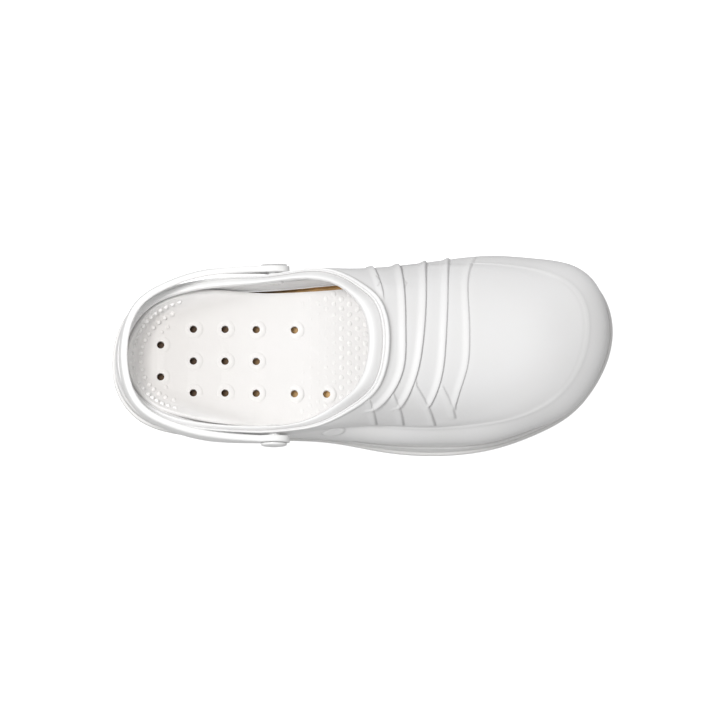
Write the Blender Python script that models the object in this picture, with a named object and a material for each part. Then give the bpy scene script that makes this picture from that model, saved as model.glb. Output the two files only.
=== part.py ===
# Right work clog: outsole, midsole, hollow upper, insole, swing strap and its rivets.
# X runs from heel to toe, Y towards the medial side, Z up. Lengths are in metres.
import math

import bpy
import bmesh
import numpy as np
from mathutils import Vector
from mathutils.bvhtree import BVHTree

# Last and sole
SOLE_LENGTH = 0.270
BALL_WIDTH = 0.1016
INSTEP_HEIGHT = 0.0855
HEEL_HEIGHT = 0.035
TOE_SPRING = 0.012
ARCH_LIFT = 0.0032
HEEL_BEVEL = 0.003
OUTSOLE_THICKNESS = 0.0052
OUTSOLE_LEDGE = 0.0016
SIDE_STEP = 0.0008
FOOTBED_DEPTH = 0.0063
INSOLE_THICKNESS = 0.0050
OUTSOLE_EDGE = 0.0034
INSOLE_PLAY = 0.0011
INSOLE_DISH = 0.0004
HEEL_CUP_RISE = 0.0090
HEEL_CUP_RUN = 0.0150
GAP = 0.0003

# Upper
WALL = 0.0040
SHOULDER_RUN = 0.0100
ROLL_RISE = 0.0018
ROLL_DROP = 0.0036
BEAD_WIDTH = 0.0042
BEAD_RISE = 0.0013
FOLD_WIDTH = 0.0066
FOLD_RISE = 0.0012
FOLD_DROP_RUN = 0.0006

# Insole holes and tread
HOLE_DIAMETER = 0.0040
HOLE_SPACING = 0.0172
TREAD_DEPTH = 0.0025
TREAD_WIDTH = 0.0042
TREAD_BORDER = 0.0075
TREAD_BOW = 0.006

# Back strap and rivets
STRAP_THICKNESS = 0.0036
STRAP_HEIGHT = 0.0110
STRAP_END_RADIUS = 0.0085
STRAP_LEAN = 0.14
STRAP_LIFT = 0.0088
PIVOT_DROP = 0.0060
RIVET_RADIUS = 0.0070
RIVET_RIM = 0.0007
RIVET_DOME = 0.0013
SHANK_RADIUS = 0.0030
CAP_RADIUS = 0.0050
CAP_THICKNESS = 0.0014
CAP_SEAT_DEPTH = 0.0008

# Shares: how far meridians lean forward, where the side loop lies between seam and edge, how much
# of its bulge the loops beside it take, and where the wall begins and ends being measured level
MERIDIAN_LEAN = 0.186
REAR_LEAN_POWER = 0.9
SIDE_SHARE = 0.46
SIDE_BULGE_SHARE = 0.22
LEVEL_WALL_SHARES = (0.36, 0.52)
FOLD_AXIS_HEIGHT_SHARE = 0.35
FOLD_AXIS_SIDE_SHARE = 0.04
VAMP_SHARES = (0.07, 0.22, 0.38, 0.54, 0.70, 0.86)

MERIDIANS = 56
TURN_STEPS = 18
HOLE_SIDES = 8
FOLD_STEPS = 9
SIDE_FOLD_STEPS = 4
STRAP_STEPS = 9
TREAD_STEPS = 4

# Sections of the last. Each row is one place along a loop, as a share of that loop's length.
# Each pair of columns holds the lateral and medial distances, as shares of the ball width.
SECTION_LOOPS = ("sole", "seam", "side", "edge", "crease", "lip")
SECTIONS = (
    (0.00, -0.027, -0.027, -0.027, -0.027, -0.027, -0.027, -0.027, -0.027, -0.027, -0.027, -0.027, -0.027),
    (0.02, -0.226, 0.207, -0.215, 0.191, -0.213, 0.177, -0.202, 0.153, -0.172, 0.123, -0.153, 0.103),
    (0.06, -0.331, 0.315, -0.325, 0.310, -0.320, 0.292, -0.305, 0.272, -0.261, 0.216, -0.236, 0.187),
    (0.12, -0.387, 0.364, -0.380, 0.356, -0.379, 0.356, -0.372, 0.348, -0.318, 0.286, -0.295, 0.254),
    (0.20, -0.412, 0.374, -0.413, 0.374, -0.416, 0.388, -0.419, 0.388, -0.367, 0.337, -0.341, 0.299),
    (0.32, -0.425, 0.366, -0.431, 0.388, -0.435, 0.400, -0.438, 0.402, -0.402, 0.371, -0.376, 0.331),
    (0.45, -0.447, 0.379, -0.445, 0.423, -0.443, 0.433, -0.409, 0.431, -0.418, 0.385, -0.394, 0.345),
    (0.55, -0.492, 0.408, -0.460, 0.443, -0.456, 0.461, -0.387, 0.448, -0.422, 0.387, -0.398, 0.354),
    (0.65, -0.508, 0.448, -0.465, 0.463, -0.457, 0.494, -0.396, 0.463, -0.411, 0.405, -0.394, 0.368),
    (0.75, -0.480, 0.487, -0.455, 0.487, -0.443, 0.526, -0.382, 0.469, -0.386, 0.415, -0.366, 0.374),
    (0.85, -0.392, 0.495, -0.382, 0.495, -0.372, 0.515, -0.338, 0.455, -0.324, 0.371, -0.305, 0.346),
    (0.92, -0.285, 0.482, -0.300, 0.468, -0.285, 0.485, -0.256, 0.416, -0.264, 0.299, -0.246, 0.281),
    (0.97, -0.123, 0.384, -0.146, 0.377, -0.138, 0.399, -0.126, 0.343, -0.186, 0.224, -0.165, 0.195),
    (1.00, 0.143, 0.143, 0.143, 0.143, 0.143, 0.143, 0.143, 0.143, 0.030, 0.030, 0.025, 0.025),
)

# Where each loop starts at the heel and ends at the front, as shares of the sole's length
LOOP_ENDS = {
    "sole": (0.0000, 1.0000),
    "seam": (0.0093, 0.9889),
    "side": (0.0119, 0.9852),
    "edge": (0.0137, 0.9489),
    "crease": (0.0185, 0.5404),
    "lip": (0.0296, 0.5122),
}

# Height of the seam as a share of the heel height, by share of the sole's length
SEAM_COLUMNS = ("at", "height")
SEAM_HEIGHTS = (
    (0.00, 1.00),
    (0.10, 0.985),
    (0.20, 0.95),
    (0.32, 0.885),
    (0.45, 0.75),
    (0.55, 0.66),
    (0.65, 0.63),
    (0.75, 0.63),
    (0.85, 0.66),
    (0.93, 0.71),
    (1.00, 0.77),
)

# Heights above the seam, as shares of the room from the seam to the instep height
RISE_COLUMNS = ("at", "edge_lateral", "edge_medial", "crease_lateral", "crease_medial")
RISES = (
    (0.00, 0.168, 0.168, 0.228, 0.228),
    (0.02, 0.170, 0.170, 0.230, 0.230),
    (0.06, 0.174, 0.174, 0.236, 0.236),
    (0.12, 0.188, 0.188, 0.250, 0.250),
    (0.20, 0.235, 0.235, 0.276, 0.276),
    (0.32, 0.345, 0.340, 0.337, 0.337),
    (0.45, 0.370, 0.392, 0.408, 0.408),
    (0.55, 0.324, 0.412, 0.461, 0.461),
    (0.65, 0.312, 0.435, 0.495, 0.505),
    (0.75, 0.308, 0.420, 0.551, 0.568),
    (0.85, 0.306, 0.368, 0.666, 0.708),
    (0.92, 0.312, 0.345, 0.804, 0.861),
    (0.97, 0.325, 0.335, 0.916, 0.943),
    (1.00, 0.332, 0.332, 0.990, 0.990),
)

# The vamp's crest line from the collar to the toe, with how full the arch across it is
CREST_COLUMNS = ("at", "rise", "fullness")
CREST = (
    (0.380, 1.050, 0.56),
    (0.500, 1.030, 0.58),
    (0.548, 0.976, 0.60),
    (0.574, 0.928, 0.63),
    (0.648, 0.803, 0.70),
    (0.722, 0.709, 0.78),
    (0.796, 0.628, 0.86),
    (0.870, 0.525, 0.93),
    (0.949, 0.332, 1.00),
)

# Folds across the vamp. Each place is a share of the sole's length, at an angle round the
# foot in degrees from straight up, with the medial side positive.
FOLD_ANGLES = (78, 50, 22, 0, -22, -38, -50)
FOLDS = (
    ("fold_1", 76, 25, (0.513, 0.526, 0.543, 0.546, 0.540, 0.530, 0.520)),
    ("fold_2", 78, -46, (0.570, 0.578, 0.584, 0.585, 0.577, 0.546, 0.511)),
    ("fold_3", 80, -46, (0.627, 0.626, 0.625, 0.620, 0.608, 0.588, 0.567)),
    ("fold_4", 80, -48, (0.673, 0.670, 0.668, 0.665, 0.659, 0.646, 0.630)),
    ("fold_5", 74, -53, (0.727, 0.710, 0.711, 0.712, 0.707, 0.694, 0.685)),
)
SIDE_FOLD_ANGLES = (-30, -45, -70)
SIDE_FOLDS = (
    ("side_fold_1", -37, -67, (0.509, 0.521, 0.528)),
    ("side_fold_2", -33, -68, (0.558, 0.573, 0.582)),
    ("side_fold_3", -28, -69, (0.607, 0.628, 0.645)),
    ("side_fold_4", -34, -62, (0.655, 0.673, 0.688)),
)

# Inner face of the strap from its rear middle to its ends, as shares of the ball width
STRAP_COLUMNS = ("along", "lateral", "medial")
STRAP_FACE = (
    (0.00, -0.027, -0.027),
    (0.25, -0.255, 0.200),
    (0.50, -0.375, 0.327),
    (0.70, -0.431, 0.395),
    (0.85, -0.446, 0.413),
    (1.00, -0.447, 0.417),
)
STRAP_REAR_SHARE = 0.0303
PIVOT_SHARE = 0.3248

# Insole holes: rows across the foot. Each has its place along the sole and, in hole spacings,
# how far its holes lie from the row's middle.
HOLE_ROWS = (
    (0.099, (-0.5, 0.5)),
    (0.164, (-1, 0, 1)),
    (0.227, (-1, 0, 1)),
    (0.289, (-1, 0, 1)),
    (0.365, (-1, 1)),
    (0.429, (-1,)),
)
HOLES_CENTRE_SHARE = -0.031

TREAD_PLACES = (0.085, 0.130, 0.175, 0.220, 0.265, 0.550, 0.595, 0.640, 0.685, 0.730, 0.775, 0.820, 0.865)

# Side of each sole layer from its bottom to its top: height, then inset in outsole edges or side steps
OUTSOLE_SIDE = ((0.0, 1.0), (0.30, 0.235), (0.55, 0.0), (0.85, 0.09), (1.0, 0.41))
MIDSOLE_SIDE = ((0.05, 0.0), (0.34, 0.0), (0.52, -0.3), (0.57, 1.0), (0.90, 0.3), (1.0, 0.9))
# The insole's heel cup: distance in from its edge as a share of its run, and share of its rise
HEEL_CUP = ((0.0, 0.90), (0.12, 1.0), (0.40, 0.42), (1.0, 0.0))
HEEL_CUP_SHARES = (0.10, 0.36)
INSOLE_SIDE_SHARE = 0.8


def column(table, names, name):
    place = names.index(name)
    return [row[place] for row in table]


def natural_spline(knots, values):
    knots = np.array(knots, float)
    values = np.array(values, float)
    count = len(knots)
    step = np.diff(knots)
    matrix = np.eye(count)
    right = np.zeros(count)
    for k in range(1, count - 1):
        matrix[k, k - 1:k + 2] = (step[k - 1], 2 * (step[k - 1] + step[k]), step[k])
        right[k] = 6 * ((values[k + 1] - values[k]) / step[k] - (values[k] - values[k - 1]) / step[k - 1])
    bend = np.linalg.solve(matrix, right)

    def value(at):
        at = np.clip(np.asarray(at, float), knots[0], knots[-1])
        k = np.clip(np.searchsorted(knots, at) - 1, 0, count - 2)
        a = (knots[k + 1] - at) / step[k]
        b = 1 - a
        curve = ((a ** 3 - a) * bend[k] + (b ** 3 - b) * bend[k + 1]) * step[k] ** 2 / 6
        return a * values[k] + b * values[k + 1] + curve

    return value


def round_spline(turns, lateral, medial):
    # One smooth closed curve: heel, medial side, toe, lateral side and back to the heel
    knots = list(turns) + [2 * math.pi - turn for turn in turns[-2::-1]]
    values = list(medial) + list(lateral[-2::-1])
    last = len(knots) - 1
    lead = 4
    before = [(knots[k] - 2 * math.pi, values[k]) for k in range(last - lead, last)]
    after = [(knots[k] + 2 * math.pi, values[k]) for k in range(1, lead + 1)]
    pairs = before + list(zip(knots, values)) + after
    return natural_spline([pair[0] for pair in pairs], [pair[1] for pair in pairs])


def turn_of(share):
    return math.acos(1 - 2 * share)


TURNS = [turn_of(row[0]) for row in SECTIONS]
SECTION_NAMES = ("at",) + tuple(name + side for name in SECTION_LOOPS for side in ("_lateral", "_medial"))
WIDTHS = {
    name: round_spline(
        TURNS,
        column(SECTIONS, SECTION_NAMES, name + "_lateral"),
        column(SECTIONS, SECTION_NAMES, name + "_medial"),
    )
    for name in SECTION_LOOPS
}
RISE_OF = {
    name: round_spline(
        TURNS,
        column(RISES, RISE_COLUMNS, name + "_lateral"),
        column(RISES, RISE_COLUMNS, name + "_medial"),
    )
    for name in ("edge", "crease")
}
SEAM_SHARE = natural_spline(
    column(SEAM_HEIGHTS, SEAM_COLUMNS, "at"),
    column(SEAM_HEIGHTS, SEAM_COLUMNS, "height"),
)
CREST_RISE = natural_spline(column(CREST, CREST_COLUMNS, "at"), column(CREST, CREST_COLUMNS, "rise"))
CREST_FULLNESS = natural_spline(column(CREST, CREST_COLUMNS, "at"), column(CREST, CREST_COLUMNS, "fullness"))


def length_at(share):
    return (share - 0.5) * SOLE_LENGTH


def share_at(x):
    return x / SOLE_LENGTH + 0.5


def seam_height(x):
    return HEEL_HEIGHT * SEAM_SHARE(share_at(x))


def ground_height(x):
    # Flat under heel and ball, a low arch between them, a bevel at the heel and a sprung toe
    share = share_at(x)
    heel_end, arch_start, arch_top, arch_end, spring_start = 0.05, 0.31, 0.42, 0.54, 0.76
    if share < heel_end:
        return HEEL_BEVEL * ((heel_end - share) / heel_end) ** 2
    if share > spring_start:
        return TOE_SPRING * ((share - spring_start) / (1 - spring_start)) ** 2
    if arch_start < share < arch_end:
        if share < arch_top:
            part = (share - arch_start) / (arch_top - arch_start)
        else:
            part = (arch_end - share) / (arch_end - arch_top)
        return ARCH_LIFT * part * part * (3 - 2 * part)
    return 0.0


def collar_turn(turn):
    # Meridians lean forward at the sides, so that those of the forefoot reach the collar's front,
    # and less round the heel, where they stay upright
    lean = MERIDIAN_LEAN * math.pi * math.sin(turn)
    if math.cos(turn) > 0:
        lean *= abs(math.sin(turn)) ** REAR_LEAN_POWER
    return turn + lean


def loop_point(name, turn):
    back, front = LOOP_ENDS[name]
    x = length_at(back + (front - back) * (1 - math.cos(turn)) / 2)
    return x, BALL_WIDTH * float(WIDTHS[name](turn))


def ring(name, heights, turned=False):
    points = []
    for k in range(MERIDIANS):
        turn = 2 * math.pi * k / MERIDIANS
        if turned:
            turn = collar_turn(turn)
        x, y = loop_point(name, turn)
        points.append((x, y, heights(x, turn)))
    return np.array(points)


def seam_rise(x, share):
    base = seam_height(x)
    return float(base + share * (INSTEP_HEIGHT - base))


def edge_height(x, turn):
    return seam_rise(x, RISE_OF["edge"](turn))


def crease_height(x, turn):
    return seam_rise(x, RISE_OF["crease"](turn))


def inward(points):
    # Unit vectors in plan that point to the inside of a closed loop
    along = np.roll(points, -1, axis=0) - np.roll(points, 1, axis=0)
    across = np.stack([along[:, 1], -along[:, 0]], axis=1)
    return across / np.linalg.norm(across, axis=1)[:, None]


def inset(points, distance):
    moved = points.copy()
    moved[:, :2] += inward(points) * np.reshape(distance, (-1, 1))
    return moved


def at_height(points, height):
    moved = points.copy()
    moved[:, 2] = [height(x) for x in points[:, 0]]
    return moved


def mix(a, b, share):
    return a + (b - a) * share


def soft_step(share):
    share = min(max(float(share), 0.0), 1.0)
    return share * share * (3 - 2 * share)


def arch_height(x, y):
    # The vamp's surface: an arch between the two shoulder lines, up to the crest line
    back, front = LOOP_ENDS["edge"]
    share = np.clip((share_at(x) - back) / (front - back), 0, 1)
    turn = turn_of(share)
    low = BALL_WIDTH * float(WIDTHS["edge"](2 * math.pi - turn))
    high = BALL_WIDTH * float(WIDTHS["edge"](turn))
    middle = (low + high) / 2
    half = max((high - low) / 2, GAP)
    across = min(abs(y - middle) / half, 1.0)
    foot = mix(edge_height(x, 2 * math.pi - turn), edge_height(x, turn), np.clip((y - low) / (2 * half), 0, 1))
    crest = seam_rise(x, CREST_RISE(share_at(x)))
    return float(foot + max(crest - foot, 0) * (1 - across ** 2.2) ** float(CREST_FULLNESS(share_at(x))))


def front_share(turn):
    # 0 at the back of the collar and 1 at its front
    return (1 - math.cos(turn)) / 2


def ring_mesh(rings, joined=False):
    count = len(rings[0])
    half = count // 2
    points = [tuple(float(v) for v in point) for loop in rings for point in loop]
    faces = []
    for r in range(len(rings) if joined else len(rings) - 1):
        low = r * count
        high = (r + 1) % len(rings) * count
        for k in range(count):
            n = (k + 1) % count
            faces.append((low + k, low + n, high + n, high + k))
    for base in () if joined else (0, (len(rings) - 1) * count):
        faces.append((base, base + 1, base + count - 1))
        for k in range(1, half - 1):
            faces.append((base + k, base + k + 1, base + count - k - 1, base + count - k))
        faces.append((base + half - 1, base + half, base + half + 1))
    return points, faces


def tube_mesh(sections):
    # A solid through sections of one point count, with flat ends
    count = len(sections[0])
    points = [tuple(float(v) for v in point) for section in sections for point in section]
    faces = []
    for r in range(len(sections) - 1):
        for k in range(count):
            n = (k + 1) % count
            faces.append((r * count + k, r * count + n, (r + 1) * count + n, (r + 1) * count + k))
    last = (len(sections) - 1) * count
    faces.append(tuple(range(count)))
    faces.append(tuple(last + k for k in range(count)))
    return points, faces


def make_material(name, colour, roughness):
    material = bpy.data.materials.new(name)
    material.use_nodes = True
    shader = material.node_tree.nodes["Principled BSDF"]
    shader.inputs["Base Color"].default_value = (*colour, 1)
    shader.inputs["Roughness"].default_value = roughness
    shader.inputs["Metallic"].default_value = 0
    return material


def make_object(name, mesh_data, material=None):
    points, faces = mesh_data
    mesh = bpy.data.meshes.new(name)
    shape = bmesh.new()
    corners = [shape.verts.new(point) for point in points]
    for face in faces:
        shape.faces.new([corners[k] for k in face])
    bmesh.ops.triangulate(shape, faces=shape.faces[:])
    bmesh.ops.recalc_face_normals(shape, faces=shape.faces[:])
    shape.to_mesh(mesh)
    shape.free()
    thing = bpy.data.objects.new(name, mesh)
    bpy.context.scene.collection.objects.link(thing)
    if material:
        mesh.materials.append(material)
        mesh.shade_smooth()
        mesh.set_sharp_from_angle(angle=math.radians(35))
    else:
        thing.hide_render = True
        thing.display_type = "WIRE"
    return thing


def combine(thing, tool, operation):
    step = thing.modifiers.new(tool.name, "BOOLEAN")
    step.operation = operation
    step.solver = "EXACT"
    step.object = tool


def lathe(profile, centre, outward, segments=TURN_STEPS):
    # Turned solid about the Y axis. A profile row is a radius and a distance outwards.
    sections = []
    for radius, reach in profile:
        points = []
        for k in range(segments):
            angle = 2 * math.pi * k / segments
            x = centre[0] + radius * math.cos(angle)
            z = centre[2] + radius * math.sin(angle)
            points.append((x, centre[1] + outward * reach, z))
        sections.append(points)
    return tube_mesh(sections)


def outer_rings():
    seam = ring("seam", lambda x, turn: seam_height(x))
    edge = ring("edge", edge_height)
    side = ring("side", lambda x, turn: 0.0)
    side[:, 2] = mix(seam[:, 2], edge[:, 2], SIDE_SHARE)
    bulge = (side - mix(seam, edge, SIDE_SHARE)) * SIDE_BULGE_SHARE
    low = mix(seam, side, 0.5) + bulge
    high = mix(side, edge, 0.55) + bulge
    crease = ring("crease", crease_height, turned=True)
    band = np.array([
        BEAD_WIDTH * (0.30 + 0.70 * front_share(collar_turn(2 * math.pi * k / MERIDIANS)) ** 4)
        for k in range(MERIDIANS)
    ])
    foot = inset(crease, -band)
    foot[:, 2] = crease[:, 2] - 0.18 * BEAD_WIDTH
    vamp = []
    for share in VAMP_SHARES:
        points = mix(edge, foot, share)
        fade = soft_step(share)
        for k in range(MERIDIANS):
            at_edge = edge[k, 2] - arch_height(*edge[k, :2])
            at_foot = foot[k, 2] - arch_height(*foot[k, :2])
            arched = arch_height(*points[k, :2]) + mix(at_edge, at_foot, fade)
            # Where the collar runs close above the shoulder there is a plain wall and no arch
            run = np.linalg.norm(foot[k, :2] - edge[k, :2])
            points[k, 2] = mix(points[k, 2], arched, soft_step(run / SHOULDER_RUN))
        vamp.append(points)
    return [seam, low, side, high, edge] + vamp + [foot], crease, band


def collar_rings(crease, band):
    # The bead outside the crease, then the roll that turns down into the shoe
    fronts = np.array([front_share(collar_turn(2 * math.pi * k / MERIDIANS)) for k in range(MERIDIANS)])
    strength = (0.45 + 0.55 * fronts)[:, None] * np.array([[0.0, 0.0, 1.0]])
    bead_outer = inset(crease, -band * 0.86) + strength * BEAD_RISE * 0.55
    bead_top = inset(crease, -band * 0.52) + strength * BEAD_RISE
    bead_inner = inset(crease, -band * 0.16) + strength * BEAD_RISE * 0.75
    lip = ring("lip", lambda x, turn: 0.0, turned=True)
    lip[:, 2] = crease[:, 2]
    roll_outer = mix(crease, lip, 0.22) + strength * ROLL_RISE * 0.85
    roll_top = mix(crease, lip, 0.50) + strength * ROLL_RISE
    roll_inner = mix(crease, lip, 0.82) + strength * ROLL_RISE * 0.10
    fall = (0.18 + 0.82 * fronts ** 4)[:, None] * np.array([[0.0, 0.0, ROLL_DROP]])
    drop = lip - fall
    under = inset(lip, -0.25 * WALL) - fall * 1.4
    return [bead_outer, bead_top, bead_inner, crease, roll_outer, roll_top, roll_inner, drop, under]


def surface_normals(rings):
    # Outward unit vectors at each point of the outer rings
    grid = np.array(rings)
    up = np.gradient(grid, axis=0)
    around = np.roll(grid, -1, axis=1) - np.roll(grid, 1, axis=1)
    normal = np.cross(up, around)
    # The low wall round the heel keeps its thickness measured level
    rear, front = (length_at(share) for share in LEVEL_WALL_SHARES)
    share = np.clip((grid[:, :, 0] - rear) / (front - rear), 0, 1)
    normal[:, :, 2] *= share * share * (3 - 2 * share)
    return normal / np.linalg.norm(normal, axis=2)[:, :, None]


def upper_rings():
    outer, crease, band = outer_rings()
    normals = surface_normals(outer)
    inner = [points - normal * WALL for points, normal in zip(outer, normals)]
    inner[0] = inset(outer[0], WALL)
    inner[1][:, 2] = outer[1][:, 2]
    kept = (9, 8, 7, 5, 4, 2, 1, 0)
    return outer + collar_rings(crease, band) + [inner[k] for k in kept]


def outer_surface(points, faces):
    return BVHTree.FromPolygons([Vector(point) for point in points], faces)


class FoldCaster:
    # Finds the upper's outer face at a place along the foot and an angle round it
    def __init__(self, tree):
        self.tree = tree
        self.axis_height = FOLD_AXIS_HEIGHT_SHARE * INSTEP_HEIGHT
        self.axis_side = FOLD_AXIS_SIDE_SHARE * BALL_WIDTH

    def point(self, x, angle):
        turned = math.radians(angle)
        out = Vector((0, math.sin(turned), math.cos(turned)))
        axis = Vector((x, self.axis_side, self.axis_height))
        hit = self.tree.ray_cast(axis + out * BALL_WIDTH * 2, -out)[0]
        return np.array(hit), np.array(out)


# Cross-section of a fold: distance towards the toe and height, in fold widths and fold rises
FOLD_SECTION = ((-1.0, -0.45), (-0.36, 0.86), (-0.06, 1.0), (0.0, 0.72))
FOLD_SINK = 0.45


def fold_solid(caster, start, end, angles, places, steps):
    place = natural_spline(angles[::-1], places[::-1])
    sections = []
    for k in range(steps + 1):
        share = k / steps
        angle = mix(start, end, share)
        x = length_at(float(place(angle)))
        fade = min(1.0, 0.25 + 5 * min(share, 1 - share))
        section = []
        for along, rise in FOLD_SECTION:
            point, out = caster.point(x + along * FOLD_WIDTH, angle)
            section.append(point + out * rise * fade * FOLD_RISE)
        point, out = caster.point(x + FOLD_DROP_RUN, angle)
        section.append(point - out * FOLD_RISE * 0.5)
        point, out = caster.point(x - 0.4 * FOLD_WIDTH, angle)
        section.append(point - out * FOLD_SINK * WALL)
        sections.append(section)
    return tube_mesh(sections)


def pivot_height():
    # The rivets lie a set distance under the collar's rim
    back, front = LOOP_ENDS["crease"]
    turn = turn_of((PIVOT_SHARE - back) / (front - back))
    rims = [crease_height(length_at(PIVOT_SHARE), side) for side in (turn, 2 * math.pi - turn)]
    return min(rims) - PIVOT_DROP


def strap_mesh():
    # The band follows its inner face in plan, rises towards the heel and leans in at the top
    laterals = column(STRAP_FACE, STRAP_COLUMNS, "lateral")
    medials = column(STRAP_FACE, STRAP_COLUMNS, "medial")
    alongs = column(STRAP_FACE, STRAP_COLUMNS, "along")
    face = natural_spline([-a for a in alongs[:0:-1]] + alongs, laterals[:0:-1] + medials)
    rear = length_at(STRAP_REAR_SHARE)
    pivot = length_at(PIVOT_SHARE)
    tip = pivot + 0.97 * STRAP_END_RADIUS
    disc = [pivot + STRAP_END_RADIUS * share for share in (0.97, 0.85, 0.60, 0.25, -0.20, -0.72)]
    disc = [math.sqrt((x - rear) / (tip - rear)) for x in disc]
    halves = disc + [disc[-1] * (1 - k / STRAP_STEPS) for k in range(1, STRAP_STEPS)]
    path = [-q for q in halves] + [0.0] + halves[::-1]
    rim = seam_rise(length_at(LOOP_ENDS["crease"][0]), RISE_OF["crease"](0.0))
    pivot_z = pivot_height()
    climb = rim + STRAP_LIFT + STRAP_HEIGHT / 2 - pivot_z
    sections = []
    for q in path:
        x = rear + (tip - rear) * q * q
        y = BALL_WIDTH * float(face(q))
        step = 0.002
        ahead = np.array([(tip - rear) * ((q + step) ** 2 - (q - step) ** 2), 0.0])
        ahead[1] = BALL_WIDTH * float(face(min(q + step, 1)) - face(max(q - step, -1)))
        if abs(q) > 1 - step:
            ahead[1] = 0.0
        out = np.array([-ahead[1], ahead[0]])
        out = out / np.linalg.norm(out)
        middle = pivot_z + climb * max(pivot - x, 0) / (pivot - rear)
        away = x - pivot
        half = STRAP_HEIGHT / 2
        if abs(away) < STRAP_END_RADIUS:
            reach = math.sqrt(STRAP_END_RADIUS ** 2 - away ** 2)
            half = reach if away > 0 else max(reach, half)
        lean = STRAP_LEAN * min(1.0, max(0.0, (pivot - x) / (3 * STRAP_END_RADIUS) - 0.3))
        corner = min(0.22 * STRAP_THICKNESS, 0.4 * half)
        section = []
        for depth, height in (
            (0, -half + corner), (corner, -half), (STRAP_THICKNESS - corner, -half),
            (STRAP_THICKNESS, -half + corner), (STRAP_THICKNESS, half - corner),
            (STRAP_THICKNESS - corner, half), (corner, half), (0, half - corner),
        ):
            shift = depth - lean * height
            section.append((x + out[0] * shift, y + out[1] * shift, middle + height))
        sections.append(section)
    return tube_mesh(sections)


def outsole_rings():
    sole = ring("sole", lambda x, turn: 0.0)
    rings = []
    for share, edges in OUTSOLE_SIDE:
        rise = share * OUTSOLE_THICKNESS
        rings.append(at_height(inset(sole, edges * OUTSOLE_EDGE), lambda x: ground_height(x) + rise))
    return rings


def tread_bar(place):
    middle = length_at(place)
    turn = turn_of(place)
    low = BALL_WIDTH * float(WIDTHS["sole"](2 * math.pi - turn)) + TREAD_BORDER
    high = BALL_WIDTH * float(WIDTHS["sole"](turn)) - TREAD_BORDER
    sections = []
    for k in range(TREAD_STEPS + 1):
        share = k / TREAD_STEPS
        x = middle + TREAD_BOW * (1 - (2 * share - 1) ** 2) - TREAD_BOW / 2
        y = mix(low, high, share)
        base = ground_height(x)
        front, back = x + TREAD_WIDTH / 2, x - TREAD_WIDTH / 2
        sections.append((
            (back, y, base - TREAD_DEPTH),
            (front, y, base - TREAD_DEPTH),
            (front, y, ground_height(front) + TREAD_DEPTH),
            (back, y, ground_height(back) + TREAD_DEPTH),
        ))
    return tube_mesh(sections)


def midsole_rings():
    sole = ring("sole", lambda x, turn: 0.0)
    bottom = at_height(inset(sole, OUTSOLE_LEDGE), lambda x: ground_height(x) + OUTSOLE_THICKNESS + GAP)
    seam = ring("seam", lambda x, turn: seam_height(x) - GAP)
    rings = [inset(bottom, OUTSOLE_LEDGE)]
    for share, steps in MIDSOLE_SIDE:
        rings.append(inset(mix(bottom, seam, share), steps * SIDE_STEP))
    ledge = inset(seam, WALL + 2 * GAP)
    floor = at_height(ledge, lambda x: seam_height(x) - FOOTBED_DEPTH)
    return rings + [ledge, inset(floor, GAP)]


def wall_at(rings, heights):
    # The outer wall's loop at a height of its own on each meridian
    loop = rings[0].copy()
    for k, height in enumerate(heights):
        for lower, upper in zip(rings[:-1], rings[1:]):
            rise = upper[k, 2] - lower[k, 2]
            share = np.clip((height - lower[k, 2]) / rise, 0, 1)
            if share > 0:
                loop[k] = mix(lower[k], upper[k], share)
        loop[k, 2] = height
    return loop


def insole_rings():
    outer = outer_rings()[0]
    bottom = inset(outer[0], WALL + INSOLE_PLAY)
    bottom = at_height(bottom, lambda x: seam_height(x) - FOOTBED_DEPTH + GAP)
    start, end = HEEL_CUP_SHARES
    cups = np.array([HEEL_CUP_RISE * soft_step((end - share_at(x)) / (end - start)) for x in outer[0][:, 0]])
    top = bottom[:, 2] + INSOLE_THICKNESS
    # Upright side inside the sole's well, before the cup follows the upper's wall outwards
    side = bottom.copy()
    side[:, 2] = np.minimum(outer[0][:, 2], mix(bottom[:, 2], top + cups * HEEL_CUP[0][1], INSOLE_SIDE_SHARE))
    rings = [bottom, side]
    for run, share in HEEL_CUP:
        heights = top + cups * share - (INSOLE_DISH if run == 1.0 else 0.0)
        rings.append(inset(wall_at(outer[:5], heights), WALL + INSOLE_PLAY + run * HEEL_CUP_RUN))
    return rings


def clear_scene():
    for thing in list(bpy.data.objects):
        bpy.data.objects.remove(thing, do_unlink=True)


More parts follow.
